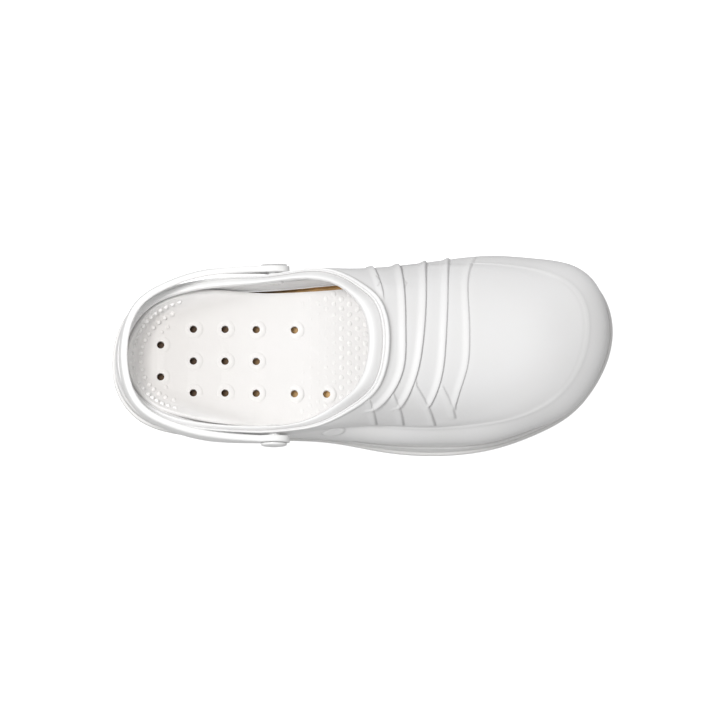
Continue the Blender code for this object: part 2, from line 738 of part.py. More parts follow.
def build():
    clear_scene()
    foam = make_material("white_foam", (0.86, 0.86, 0.85), 0.50)
    tread = make_material("white_tread", (0.84, 0.84, 0.83), 0.55)
    liner = make_material("insole_foam", (0.85, 0.84, 0.82), 0.65)
    band = make_material("strap_foam", (0.87, 0.87, 0.86), 0.45)
    gloss = make_material("rivet_plastic", (0.85, 0.85, 0.85), 0.30)

    outsole = make_object("outsole", ring_mesh(outsole_rings()), tread)
    for number, place in enumerate(TREAD_PLACES):
        combine(outsole, make_object("tread_cut_%d" % number, tread_bar(place)), "DIFFERENCE")

    make_object("midsole", ring_mesh(midsole_rings()), foam)

    insole = make_object("insole", ring_mesh(insole_rings()), liner)
    for row, (place, columns) in enumerate(HOLE_ROWS):
        for spot in columns:
            x = length_at(place)
            y = BALL_WIDTH * HOLES_CENTRE_SHARE + spot * HOLE_SPACING
            z = seam_height(x)
            points = []
            for height in (z - INSTEP_HEIGHT, z + INSTEP_HEIGHT):
                points.append([
                    (
                        x + HOLE_DIAMETER / 2 * math.cos(2 * math.pi * k / HOLE_SIDES),
                        y + HOLE_DIAMETER / 2 * math.sin(2 * math.pi * k / HOLE_SIDES),
                        height,
                    )
                    for k in range(HOLE_SIDES)
                ])
            combine(insole, make_object("insole_hole_%d_%s" % (row, spot), tube_mesh(points)), "DIFFERENCE")

    points, faces = ring_mesh(upper_rings(), joined=True)
    upper = make_object("upper", (points, faces), foam)
    caster = FoldCaster(outer_surface(points, faces))
    for name, start, end, places in FOLDS:
        solid = fold_solid(caster, start, end, FOLD_ANGLES, places, FOLD_STEPS)
        combine(upper, make_object(name, solid), "UNION")
    for name, start, end, places in SIDE_FOLDS:
        solid = fold_solid(caster, start, end, SIDE_FOLD_ANGLES, places, SIDE_FOLD_STEPS)
        combine(upper, make_object(name, solid), "UNION")

    strap = make_object("strap", strap_mesh(), band)
    for label, side in (("lateral", -1), ("medial", 1)):
        fasten(label, side, upper, strap, caster.tree, gloss)


def fasten(label, side, upper, strap, tree, material):
    # One rivet with its cap: the head outside the strap, the cap sunk in the inner wall
    face = BALL_WIDTH * STRAP_FACE[-1][STRAP_COLUMNS.index(label)]
    pivot = (length_at(PIVOT_SHARE), pivot_height())
    across = Vector((0, -side, 0))
    outer = tree.ray_cast(Vector((pivot[0], side * BALL_WIDTH, pivot[1])), across)[0]
    inner = tree.ray_cast(outer + across * WALL / 3, across)[0]
    seat_y = abs(inner.y) + CAP_SEAT_DEPTH
    seat = (pivot[0], side * seat_y, pivot[1])
    bore = SHANK_RADIUS + GAP
    bed = CAP_RADIUS + GAP
    cut = ((bore, 3 * WALL), (bore, 0), (bed, 0), (bed, -2 * WALL))
    tool = make_object("rivet_cut_" + label, lathe(cut, seat, side))
    combine(upper, tool, "DIFFERENCE")
    combine(strap, tool, "DIFFERENCE")
    shank = abs(face) + STRAP_THICKNESS + GAP - seat_y
    head = ((SHANK_RADIUS, -shank), (SHANK_RADIUS, 0), (RIVET_RADIUS, 0), (RIVET_RADIUS, RIVET_RIM)) + tuple(
        (RIVET_RADIUS * radius, RIVET_RIM + RIVET_DOME * rise)
        for radius, rise in ((0.93, 0.28), (0.72, 0.64), (0.42, 0.90), (0.12, 1.0))
    )
    head_at = (pivot[0], face + side * (STRAP_THICKNESS + GAP), pivot[1])
    make_object("rivet_" + label, lathe(head, head_at, side), material)
    cap = tuple(
        (CAP_RADIUS * radius, CAP_THICKNESS * rise)
        for radius, rise in ((1.0, 0.0), (1.0, 0.5), (0.8, 0.85), (0.2, 1.0))
    )
    make_object("cap_" + label, lathe(cap, (pivot[0], side * (seat_y - GAP), pivot[1]), -side), material)


def centre_on_floor():
    # The origin is the middle of the shoe's box, on the floor
    depsgraph = bpy.context.evaluated_depsgraph_get()
    corners = []
    for thing in bpy.context.scene.objects:
        if not thing.hide_render:
            mesh = thing.evaluated_get(depsgraph).data
            corners += [tuple(thing.matrix_world @ vertex.co) for vertex in mesh.vertices]
    corners = np.array(corners)
    middle = (corners.min(axis=0) + corners.max(axis=0)) / 2
    for thing in bpy.context.scene.objects:
        thing.location.x -= middle[0]
        thing.location.y -= middle[1]
    bpy.context.view_layer.update()


build()
centre_on_floor()
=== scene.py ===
import math

import bmesh
import bpy
import numpy as np
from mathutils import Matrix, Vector


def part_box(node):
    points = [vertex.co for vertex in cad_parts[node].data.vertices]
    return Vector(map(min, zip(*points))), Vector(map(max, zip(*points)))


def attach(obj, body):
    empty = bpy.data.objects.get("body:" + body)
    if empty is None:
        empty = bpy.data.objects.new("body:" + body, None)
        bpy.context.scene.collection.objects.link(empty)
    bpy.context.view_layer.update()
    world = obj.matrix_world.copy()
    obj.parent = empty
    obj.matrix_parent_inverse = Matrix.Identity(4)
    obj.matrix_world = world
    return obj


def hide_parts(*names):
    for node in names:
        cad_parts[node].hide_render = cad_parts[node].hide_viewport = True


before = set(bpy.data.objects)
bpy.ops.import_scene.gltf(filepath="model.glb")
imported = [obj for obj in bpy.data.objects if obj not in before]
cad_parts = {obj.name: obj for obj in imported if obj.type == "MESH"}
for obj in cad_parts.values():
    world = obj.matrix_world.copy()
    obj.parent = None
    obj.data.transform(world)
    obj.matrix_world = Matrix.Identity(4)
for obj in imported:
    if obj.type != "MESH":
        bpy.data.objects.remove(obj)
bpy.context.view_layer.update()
print("frame loaded")

# The last: every outline is a share of these sizes, in metres
last = {
    "length": 0.270,
    "ballWidth": 0.1016,
    "instepHeight": 0.0855,
    "heelHeight": 0.035,
    "toeSpring": 0.012,
    "archLift": 0.0032,
    "heelBevel": 0.003,
    "heelBevelEnd": 0.05,  # this and the next three are shares of the length
    "archRise": (0.31, 0.11),  # where it starts and over how much
    "archFall": (0.54, 0.12),
    "toeSpringStart": 0.76,
    "wall": 0.0040,
    "gap": 0.0003,
}

# One row per place along a loop. Each pair is the lateral and medial distance, shares of the ball width.
loopNames = ("sole", "seam", "side", "edge", "crease", "lip")
sectionRows = (
    (0.00, -0.027, -0.027, -0.027, -0.027, -0.027, -0.027, -0.027, -0.027, -0.027, -0.027, -0.027, -0.027),
    (0.02, -0.226, 0.207, -0.215, 0.191, -0.213, 0.177, -0.202, 0.153, -0.172, 0.123, -0.153, 0.103),
    (0.06, -0.331, 0.315, -0.325, 0.310, -0.320, 0.292, -0.305, 0.272, -0.261, 0.216, -0.236, 0.187),
    (0.12, -0.387, 0.364, -0.380, 0.356, -0.379, 0.356, -0.372, 0.348, -0.318, 0.286, -0.295, 0.254),
    (0.20, -0.412, 0.374, -0.413, 0.374, -0.416, 0.388, -0.419, 0.388, -0.367, 0.337, -0.341, 0.299),
    (0.32, -0.425, 0.366, -0.431, 0.388, -0.435, 0.400, -0.438, 0.402, -0.402, 0.371, -0.376, 0.331),
    (0.45, -0.447, 0.379, -0.445, 0.423, -0.443, 0.433, -0.409, 0.431, -0.418, 0.385, -0.394, 0.345),
    (0.55, -0.492, 0.408, -0.460, 0.443, -0.456, 0.461, -0.387, 0.448, -0.422, 0.387, -0.398, 0.354),
    (0.65, -0.508, 0.448, -0.465, 0.463, -0.457, 0.494, -0.396, 0.463, -0.411, 0.405, -0.394, 0.368),
    (0.75, -0.480, 0.487, -0.455, 0.487, -0.443, 0.526, -0.382, 0.469, -0.386, 0.415, -0.366, 0.374),
    (0.85, -0.392, 0.495, -0.382, 0.495, -0.372, 0.515, -0.338, 0.455, -0.324, 0.371, -0.305, 0.346),
    (0.92, -0.285, 0.482, -0.300, 0.468, -0.285, 0.485, -0.256, 0.416, -0.264, 0.299, -0.246, 0.281),
    (0.97, -0.123, 0.384, -0.146, 0.377, -0.138, 0.399, -0.126, 0.343, -0.186, 0.224, -0.165, 0.195),
    (1.00, 0.143, 0.143, 0.143, 0.143, 0.143, 0.143, 0.143, 0.143, 0.030, 0.030, 0.025, 0.025),
)
loopEnds = {  # where each loop starts at the heel and ends at the front, shares of the length
    "sole": (0.0000, 1.0000),
    "seam": (0.0093, 0.9889),
    "side": (0.0119, 0.9852),
    "edge": (0.0137, 0.9489),
    "crease": (0.0185, 0.5404),
    "lip": (0.0296, 0.5122),
}
seamRows = (  # place along the sole, height as a share of the heel height
    (0.00, 1.00), (0.10, 0.985), (0.20, 0.95), (0.32, 0.885), (0.45, 0.75), (0.55, 0.66),
    (0.65, 0.63), (0.75, 0.63), (0.85, 0.66), (0.93, 0.71), (1.00, 0.77),
)
riseRows = (  # place, then edge lateral, edge medial, crease lateral, crease medial
    (0.00, 0.168, 0.168, 0.228, 0.228), (0.02, 0.170, 0.170, 0.230, 0.230),
    (0.06, 0.174, 0.174, 0.236, 0.236), (0.12, 0.188, 0.188, 0.250, 0.250),
    (0.20, 0.235, 0.235, 0.276, 0.276), (0.32, 0.345, 0.340, 0.337, 0.337),
    (0.45, 0.370, 0.392, 0.408, 0.408), (0.55, 0.324, 0.412, 0.461, 0.461),
    (0.65, 0.312, 0.435, 0.495, 0.505), (0.75, 0.308, 0.420, 0.551, 0.568),
    (0.85, 0.306, 0.368, 0.666, 0.708), (0.92, 0.312, 0.345, 0.804, 0.861),
    (0.97, 0.325, 0.335, 0.916, 0.943), (1.00, 0.332, 0.332, 0.990, 0.990),
)
crestRows = (  # place along the sole, rise of the vamp's crest line, fullness of the arch across it
    (0.380, 1.050, 0.56), (0.500, 1.030, 0.58), (0.548, 0.976, 0.60), (0.574, 0.928, 0.63),
    (0.648, 0.803, 0.70), (0.722, 0.709, 0.78), (0.796, 0.628, 0.86), (0.870, 0.525, 0.93),
    (0.949, 0.332, 1.00),
)


def naturalSpline(knots, values):
    knots = np.array(knots, float)
    values = np.array(values, float)
    step = np.diff(knots)
    matrix = np.eye(len(knots))
    right = np.zeros(values.shape)
    for k in range(1, len(knots) - 1):
        matrix[k, k - 1:k + 2] = (step[k - 1], 2 * (step[k - 1] + step[k]), step[k])
        right[k] = 6 * ((values[k + 1] - values[k]) / step[k] - (values[k] - values[k - 1]) / step[k - 1])
    bend = np.linalg.solve(matrix, right.reshape(len(knots), -1)).reshape(values.shape)

    def value(at):
        at = np.clip(np.asarray(at, float), knots[0], knots[-1])
        k = np.clip(np.searchsorted(knots, at) - 1, 0, len(knots) - 2)
        tail = (1,) * (values.ndim - 1)
        a = ((knots[k + 1] - at) / step[k]).reshape(at.shape + tail)
        size = step[k].reshape(at.shape + tail)
        b = 1 - a
        curve = ((a ** 3 - a) * bend[k] + (b ** 3 - b) * bend[k + 1]) * size ** 2 / 6
        return a * values[k] + b * values[k + 1] + curve

    return value


def roundSpline(turns, lateral, medial):  # heel, medial side, toe, lateral side, heel again
    knots = list(turns) + [2 * math.pi - turn for turn in turns[-2::-1]]
    values = list(medial) + list(lateral[-2::-1])
    end = len(knots) - 1
    before = [(knots[k] - 2 * math.pi, values[k]) for k in range(end - 4, end)]
    after = [(knots[k] + 2 * math.pi, values[k]) for k in range(1, 5)]
    pairs = before + list(zip(knots, values)) + after
    return naturalSpline([pair[0] for pair in pairs], [pair[1] for pair in pairs])


def turnOf(share):
    return np.arccos(np.clip(1 - 2 * np.asarray(share, float), -1, 1))


def columnSpline(rows, column):
    return naturalSpline([row[0] for row in rows], [row[column] for row in rows])


def sideSplines(rows, names):  # one closed spline for each name, from its lateral and medial columns
    turns = [float(turnOf(row[0])) for row in rows]
    return {
        name: roundSpline(turns, [row[1 + 2 * k] for row in rows], [row[2 + 2 * k] for row in rows])
        for k, name in enumerate(names)
    }


widthOf = sideSplines(sectionRows, loopNames)
riseOf = sideSplines(riseRows, ("edge", "crease"))
seamShare = columnSpline(seamRows, 1)
crestRise = columnSpline(crestRows, 1)
crestFullness = columnSpline(crestRows, 2)


def mix(a, b, share):
    return a + (b - a) * share


def smooth(share):
    share = np.clip(share, 0, 1)
    return share * share * (3 - 2 * share)


def bell(value, middle, width):
    return np.exp(-((value - middle) / width) ** 2)


def strongest(*masks):
    return np.maximum.reduce(masks)


def lengthAt(share):
    return (np.asarray(share) - 0.5) * last["length"]


def shareAt(x):
    return np.asarray(x) / last["length"] + 0.5


def seamHeight(x):
    return last["heelHeight"] * seamShare(shareAt(x))


def groundHeight(x):  # flat heel, low arch, flat ball, sprung toe
    share = shareAt(x)
    bevelEnd = last["heelBevelEnd"]
    springStart = last["toeSpringStart"]
    riseStart, riseRun = last["archRise"]
    fallEnd, fallRun = last["archFall"]
    heel = last["heelBevel"] * np.clip((bevelEnd - share) / bevelEnd, 0, 1) ** 2
    toe = last["toeSpring"] * np.clip((share - springStart) / (1 - springStart), 0, 1) ** 2
    arch = last["archLift"] * smooth(np.minimum((share - riseStart) / riseRun, (fallEnd - share) / fallRun))
    return heel + toe + arch


def aboveSeam(x, share):
    base = seamHeight(x)
    return base + share * (last["instepHeight"] - base)


def turnsRound(count):
    return 2 * math.pi * np.arange(count) / count


def collarTurn(turn):  # meridians lean forward to reach the collar's front, and less round the heel
    lean = upperLook["collarLean"] * math.pi * np.sin(turn)
    rearLean = lean * np.abs(np.sin(turn)) ** upperLook["rearLeanPower"]
    return turn + np.where(np.cos(turn) > 0, rearLean, lean)


def loop(name, turn, height=None):
    back, front = loopEnds[name]
    x = lengthAt(back + (front - back) * (1 - np.cos(turn)) / 2)
    y = last["ballWidth"] * widthOf[name](turn)
    z = np.zeros_like(x) if height is None else height(x, turn)
    return np.stack([x, y, z], axis=1)


def inward(points):
    along = np.roll(points, -1, axis=0) - np.roll(points, 1, axis=0)
    across = np.stack([along[:, 1], -along[:, 0]], axis=1)
    return across / np.linalg.norm(across, axis=1)[:, None]


def inset(points, distance):
    moved = points.copy()
    moved[:, :2] += inward(points) * np.reshape(distance, (-1, 1))
    return moved


def atHeight(points, height):
    moved = points.copy()
    moved[:, 2] = height(points[:, 0])
    return moved


def archHeight(x, y):  # the vamp between its two shoulder lines
    back, front = loopEnds["edge"]
    turn = turnOf(np.clip((shareAt(x) - back) / (front - back), 0, 1))
    low = last["ballWidth"] * widthOf["edge"](2 * math.pi - turn)
    high = last["ballWidth"] * widthOf["edge"](turn)
    half = np.maximum((high - low) / 2, last["gap"])
    across = np.minimum(np.abs(y - (low + high) / 2) / half, 1)
    lateral = aboveSeam(x, riseOf["edge"](2 * math.pi - turn))
    medial = aboveSeam(x, riseOf["edge"](turn))
    foot = mix(lateral, medial, np.clip((y - low) / (2 * half), 0, 1))
    crest = aboveSeam(x, crestRise(shareAt(x)))
    arch = (1 - across ** upperLook["vampRound"]) ** crestFullness(shareAt(x))
    return foot + np.maximum(crest - foot, 0) * arch


# Everything is worked out round the last, then set where the CAD sole stands
soleLow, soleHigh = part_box("outsole")
plainSole = loop("sole", turnsRound(360))
lastShift = np.array([
    (soleLow[0] + soleHigh[0] - plainSole[:, 0].min() - plainSole[:, 0].max()) / 2,
    (soleLow[1] + soleHigh[1] - plainSole[:, 1].min() - plainSole[:, 1].max()) / 2,
    0.0,
])
print("last set at", [round(float(v) * 1000, 2) for v in lastShift], "mm")


def ringFaces(rows, count, joined=False):
    faces = []
    for r in range(rows if joined else rows - 1):
        low = r * count
        high = (r + 1) % rows * count
        faces += [(low + k, low + (k + 1) % count, high + (k + 1) % count, high + k) for k in range(count)]
    return faces


def stripFaces(base, count):  # closes a ring with strips from side to side
    half = count // 2
    faces = [(base, base + 1, base + count - 1), (base + half - 1, base + half, base + half + 1)]
    faces += [(base + k, base + k + 1, base + count - k - 1, base + count - k) for k in range(1, half - 1)]
    return faces


def loftFaces(rows, count):  # foot-shaped rings, closed with strips at both ends
    return ringFaces(rows, count) + stripFaces(0, count) + stripFaces((rows - 1) * count, count)


def tubeFaces(rows, count):  # rings closed with one face at each end
    return ringFaces(rows, count) + [tuple(range(count)), tuple(range((rows - 1) * count, rows * count))]


def circlePoints(centre, radius, rise, sides):
    points = []
    for k in range(sides):
        angle = 2 * math.pi * k / sides
        across = (radius * math.cos(angle), radius * math.sin(angle))
        points.append((centre[0] + across[0], centre[1] + across[1], centre[2] + rise))
    return points


def newThing(name, data):
    thing = bpy.data.objects.new(name, data)
    bpy.context.scene.collection.objects.link(thing)
    return thing


def makePiece(name, points, faces, material, sharp=40, centred=True):
    mesh = bpy.data.meshes.new(name)
    points = np.asarray(points, float).reshape(-1, 3)
    if centred:
        points = points + lastShift
    mesh.from_pydata([tuple(point) for point in points.tolist()], [], faces)
    shape = bmesh.new()
    shape.from_mesh(mesh)
    if shape.calc_volume(signed=True) < 0:
        bmesh.ops.reverse_faces(shape, faces=shape.faces[:])
    shape.to_mesh(mesh)
    shape.free()
    mesh.shade_smooth()
    mesh.set_sharp_from_angle(angle=math.radians(sharp))
    if material:
        mesh.materials.append(material)
    return newThing(name, mesh)


def addMask(thing, name, values):  # a mask from 0 to 1 on the points, which a material reads
    layer = thing.data.attributes.new(name, "FLOAT", "POINT")
    filled = np.zeros(len(thing.data.vertices))
    filled[:len(values)] = values
    layer.data.foreach_set("value", filled)


def settle(piece, node):
    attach(piece, "root")
    if node:
        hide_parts(node)


def cutWith(thing, cutters, sharp=40):  # each cutter is a list of points and one of faces
    tools = []
    for number, (points, faces) in enumerate(cutters):
        tool = makePiece("cutter%d" % number, points, faces, None)
        step = thing.modifiers.new(tool.name, "BOOLEAN")
        step.operation = "DIFFERENCE"
        step.solver = "EXACT"
        step.material_mode = "TRANSFER"
        step.object = tool
        tools.append(tool)
    cut = bpy.data.meshes.new_from_object(thing.evaluated_get(bpy.context.evaluated_depsgraph_get()))
    thing.modifiers.clear()
    old = thing.data
    thing.data = cut
    cut.shade_smooth()
    cut.set_sharp_from_angle(angle=math.radians(sharp))
    for mesh in [old] + [tool.data for tool in tools]:
        bpy.data.meshes.remove(mesh)


def shaderGroup(name, inputs, outputs):
    tree = bpy.data.node_groups.new(name, "ShaderNodeTree")
    for label, kind, value in inputs:
        socket = tree.interface.new_socket(name=label, in_out="INPUT", socket_type=kind)
        socket.default_value = value
    for label, kind in outputs:
        tree.interface.new_socket(name=label, in_out="OUTPUT", socket_type=kind)
    return tree, tree.nodes.new("NodeGroupInput"), tree.nodes.new("NodeGroupOutput")


def noiseNode(tree, scale, detail, source):
    noise = tree.nodes.new("ShaderNodeTexNoise")
    noise.inputs["Detail"].default_value = detail
    if isinstance(scale, float):
        noise.inputs["Scale"].default_value = scale
    else:
        tree.links.new(scale, noise.inputs["Scale"])
    tree.links.new(source, noise.inputs["Vector"])
    return noise.outputs["Fac"]


def mathNode(tree, operation, first, second):
    node = tree.nodes.new("ShaderNodeMath")
    node.operation = operation
    for socket, value in zip(node.inputs, (first, second)):
        if isinstance(value, (int, float)):
            socket.default_value = value
        else:
            tree.links.new(value, socket)
    return node.outputs["Value"]


def rangeNode(tree, value, low, high, toLow=0.0, toHigh=1.0):
    node = tree.nodes.new("ShaderNodeMapRange")
    for label, number in (("From Min", low), ("From Max", high), ("To Min", toLow), ("To Max", toHigh)):
        node.inputs[label].default_value = number
    tree.links.new(value, node.inputs["Value"])
    return node.outputs["Result"]


def mixColour(tree, share, first, second):
    node = tree.nodes.new("ShaderNodeMix")
    node.data_type = "RGBA"
    for socket, value in ((node.inputs[0], share), (node.inputs[6], first), (node.inputs[7], second)):
        if isinstance(value, (int, float)):
            socket.default_value = value
        elif isinstance(value, tuple):
            socket.default_value = (*value, 1)
        else:
            tree.links.new(value, socket)
    return node.outputs[2]


def placeNode(tree, space="Object"):
    return tree.nodes.new("ShaderNodeTexCoord").outputs[space]


def axesOf(tree, place):
    split = tree.nodes.new("ShaderNodeSeparateXYZ")
    tree.links.new(place, split.inputs["Vector"])
    return split.outputs


def newMaterial(name):
    material = bpy.data.materials.new(name)
    material.use_nodes = True
    return material, material.node_tree, material.node_tree.nodes["Principled BSDF"]


def addBump(tree, shader, height, strength, distance):
    bump = tree.nodes.new("ShaderNodeBump")
    bump.inputs["Strength"].default_value = strength
    bump.inputs["Distance"].default_value = distance
    tree.links.new(height, bump.inputs["Height"])
    tree.links.new(bump.outputs["Normal"], shader.inputs["Normal"])


def mouldedGrainGroup():  # satin grain left by the mould, low waves in the foam and soft blotches
    tree, enter, leave = shaderGroup(
        "mouldedGrain",
        (("Grain Scale", "NodeSocketFloat", 1500.0), ("Wave Scale", "NodeSocketFloat", 70.0)),
        [(label, "NodeSocketFloat") for label in ("Height", "Blotches", "Gloss Change")],
    )
    place = placeNode(tree)
    grain = mathNode(tree, "MULTIPLY", noiseNode(tree, enter.outputs["Grain Scale"], 3.0, place), 0.35)
    wave = mathNode(tree, "MULTIPLY", noiseNode(tree, enter.outputs["Wave Scale"], 2.0, place), 1.6)
    blotch = noiseNode(tree, 38.0, 4.0, place)
    tree.links.new(mathNode(tree, "ADD", grain, wave), leave.inputs["Height"])
    tree.links.new(rangeNode(tree, blotch, 0.35, 0.65), leave.inputs["Blotches"])
    tree.links.new(rangeNode(tree, blotch, 0.3, 0.7, -0.05, 0.05), leave.inputs["Gloss Change"])
    return tree


def foamToneGroup():  # random blotches, then painted shade in creases and painted highlights on crests
    tree, enter, leave = shaderGroup(
        "foamTone",
        (
            ("Colour", "NodeSocketColor", (0.87, 0.87, 0.86, 1)),
            ("Shade Colour", "NodeSocketColor", (0.8, 0.79, 0.77, 1)),
            ("Painted Shade Colour", "NodeSocketColor", (0.45, 0.44, 0.43, 1)),
            ("Blotches", "NodeSocketFloat", 0.0),
            ("Painted Shade", "NodeSocketFloat", 0.0),
            ("Painted Highlight", "NodeSocketFloat", 0.0),
        ),
        (("Colour", "NodeSocketColor"),),
    )
    colour = enter.outputs["Colour"]
    for label, most, tone in (
        ("Blotches", 0.22, enter.outputs["Shade Colour"]),
        ("Painted Highlight", 0.6, (0.95, 0.95, 0.945)),
        ("Painted Shade", 0.55, enter.outputs["Painted Shade Colour"]),
    ):
        colour = mixColour(tree, mathNode(tree, "MULTIPLY", enter.outputs[label], most), colour, tone)
    tree.links.new(colour, leave.inputs["Colour"])
    return tree


grainGroup = mouldedGrainGroup()
toneGroup = foamToneGroup()


def groupNode(tree, group):
    node = tree.nodes.new("ShaderNodeGroup")
    node.node_tree = group
    return node


def maskNode(tree, name):
    node = tree.nodes.new("ShaderNodeAttribute")
    node.attribute_name = name
    return node.outputs["Fac"]


def foamMaterial(name, look):
    material, tree, shader = newMaterial(name)
    grain = groupNode(tree, grainGroup)
    grain.inputs["Grain Scale"].default_value = look.get("grainScale", 1500.0)
    tone = groupNode(tree, toneGroup)
    tone.inputs["Colour"].default_value = (*look["colour"], 1)
    tone.inputs["Shade Colour"].default_value = (*look.get("shade", (0.82, 0.81, 0.79)), 1)
    tone.inputs["Painted Shade Colour"].default_value = (*look.get("crease", (0.42, 0.41, 0.40)), 1)
    tree.links.new(grain.outputs["Blotches"], tone.inputs["Blotches"])
    # painted shade comes from the dark mask, painted highlights from the light mask
    paintedShade = maskNode(tree, "dark")
    if "heelShade" in look:  # painted shade, greyer towards the heel, but not where the cup rises
        axes = axesOf(tree, placeNode(tree))
        heel = rangeNode(tree, axes["X"], *look["heelShadeRun"], 0.0, look["heelShade"])
        flat = rangeNode(tree, axes["Z"], *look["heelShadeHeights"])
        paintedShade = mathNode(tree, "MAXIMUM", paintedShade, mathNode(tree, "MULTIPLY", heel, flat))
    tree.links.new(paintedShade, tone.inputs["Painted Shade"])
    tree.links.new(maskNode(tree, "light"), tone.inputs["Painted Highlight"])
    tree.links.new(tone.outputs["Colour"], shader.inputs["Base Color"])
    gloss = mathNode(tree, "ADD", grain.outputs["Gloss Change"], look["roughness"])
    tree.links.new(gloss, shader.inputs["Roughness"])
    addBump(tree, shader, grain.outputs["Height"], look.get("bump", 0.25), 0.0002)
    return material


def edgeHeight(x, turn):
    return aboveSeam(x, riseOf["edge"](turn))


def creaseHeight(x, turn):
    return aboveSeam(x, riseOf["crease"](turn))


def outerWall(turns):  # five loops from the sole's seam up to the shoulder line
    seam = loop("seam", turns, lambda x, turn: seamHeight(x))
    edge = loop("edge", turns, edgeHeight)
    side = loop("side", turns)
    side[:, 2] = mix(seam[:, 2], edge[:, 2], upperLook["sideAt"])
    bulge = (side - mix(seam, edge, upperLook["sideAt"])) * upperLook["sideBulge"]
    return [seam, mix(seam, side, 0.5) + bulge, side, mix(side, edge, 0.55) + bulge, edge]


# The upper: seam, wall, vamp, bead and rolled collar, then back down inside as one hollow moulding
upperLook = {
    "meridians": 288,
    "wallRows": 22,
    "vampRows": 84,
    "beadRows": 26,
    "rollRows": 30,
    "insideRows": 16,
    "sideAt": 0.46,  # height of the wall's widest loop, and how far the loops beside it follow
    "sideBulge": 0.22,
    "collarLean": 0.186,
    "rearLeanPower": 0.9,
    "vampRound": 2.2,
    "shoulderRun": 0.0100,
    "beadWidth": 0.0042,
    "beadRise": 0.0013,
    "rollRise": 0.0018,
    "rollDrop": 0.0036,
    "widthAtHeel": 0.30,  # of the bead; this and the next two are shares of the size at the collar's front
    "riseAtHeel": 0.45,
    "dropAtHeel": 0.18,
    "footDrop": 0.18,  # the bead's foot below the crease, in bead widths
    "shoulderRidge": 0.00034,
    "shoulderRidgeWidth": 0.0007,
    "ridgeStarts": (0.53, 0.69),  # lateral and medial, shares of the length
    "toeLineStart": 0.87,
    "toeShadeLine": (0.0012, 0.0006),  # a painted shade line at the toe: above the shoulder, width
    "padPlace": (-0.0155, -0.0423, 0.045),
    "padReach": (0.0063, 0.0042),  # half its length and half its height
    "padLean": 0.12,
    "padRise": 0.0005,
    "markDepth": 0.00022,
    "markWidth": 0.0005,
    "markFloor": 0.03,
    "fineBands": ((0.0030, -0.0044), (0.0013, -0.0011)),  # ahead of and behind a fold's drop
    "colour": (0.858, 0.855, 0.856),
    "roughness": 0.46,
}
beadSection = (  # outward from the crease in bead widths, height in bead rises
    (1.00, -0.58), (0.96, -0.20), (0.91, 0.36), (0.83, 0.78), (0.70, 0.98), (0.56, 1.00), (0.45, 0.88),
    (0.38, 0.58), (0.32, 0.66), (0.24, 0.88), (0.14, 0.80), (0.06, 0.40), (0.00, -0.12),
)
rollSection = (  # from the crease to the lip, height in roll rises
    (0.00, -0.09), (0.08, 0.20), (0.20, 0.44), (0.34, 0.68), (0.48, 0.88), (0.62, 1.00),
    (0.75, 0.98), (0.86, 0.70), (0.95, 0.10),
)
vampShares = (0.07, 0.22, 0.38, 0.54, 0.70, 0.86)

# Folds across the vamp: each place is a share of the length, at degrees round the foot, medial positive
foldLook = {
    "rise": 0.00115,
    "climb": 0.0042,
    "brow": 0.0007,
    "drop": 0.0007,
    "trough": 0.20,
    "troughLength": 0.0034,
    "axisHeight": 0.35,
    "axisSide": 0.04,
    "startRun": 5,  # degrees over which a fold begins, and over which it ends
    "endRun": 6,
    "lateralRun": (15, 60),  # painted highlights on crests and painted shade in creases grow towards the lateral side, from here over this
    "highlightPaint": (0.2, 1.0),  # painted highlight strength, medial and lateral
    # painted shade strength in the creases, medial and lateral
    "shade": (0.4, 0.8),
    "crest": (-0.0015, 0.0009),  # the painted highlight along it and the painted shade in the crease: place and width
    "crease": (0.0003, 0.00042),
}
foldAngles = (78, 50, 22, 0, -22, -38, -50)
folds = (  # start angle, end angle, strength, places
    (79, 24, 0.90, (0.513, 0.526, 0.543, 0.546, 0.540, 0.530, 0.520)),
    (81, -47, 1.00, (0.570, 0.578, 0.584, 0.585, 0.577, 0.546, 0.511)),
    (83, -47, 0.95, (0.627, 0.626, 0.625, 0.620, 0.608, 0.588, 0.567)),
    (83, -49, 0.80, (0.673, 0.670, 0.668, 0.665, 0.659, 0.646, 0.630)),
    (77, -54, 0.55, (0.727, 0.710, 0.711, 0.712, 0.707, 0.694, 0.685)),
)
sideFoldAngles = (-30, -45, -70)
sideFolds = (
    (-36, -68, 0.55, (0.509, 0.521, 0.528)),
    (-32, -69, 0.55, (0.558, 0.573, 0.582)),
    (-27, -70, 0.60, (0.607, 0.628, 0.645)),
    (-33, -63, 0.45, (0.655, 0.673, 0.688)),
)


def foldPaths(angles, rows):
    paths = []
    for start, end, strength, places in rows:
        paths.append((start, end, strength, naturalSpline(angles[::-1], places[::-1])))
    return paths


allFolds = foldPaths(foldAngles, folds) + foldPaths(sideFoldAngles, sideFolds)


def foldAngle(points):
    y = points[:, 1] - foldLook["axisSide"] * last["ballWidth"]
    z = points[:, 2] - foldLook["axisHeight"] * last["instepHeight"]
    return np.maximum(np.hypot(y, z), 0.01), np.degrees(np.arctan2(y, z))


def foldDistances(points):  # how far past each fold's drop, towards the toe, and how far the fold is there
    radius, angle = foldAngle(points)
    found = []
    for start, end, strength, path in allFolds:
        slope = (lengthAt(path(angle + 1)) - lengthAt(path(angle - 1))) / (2 * radius * math.radians(1))
        away = (points[:, 0] - lengthAt(path(angle))) / np.sqrt(1 + slope ** 2)
        begun = smooth((start - angle) / foldLook["startRun"] + 0.5)
        there = begun * smooth((angle - end) / foldLook["endRun"] + 0.5)
        found.append((away, there, strength))
    return found


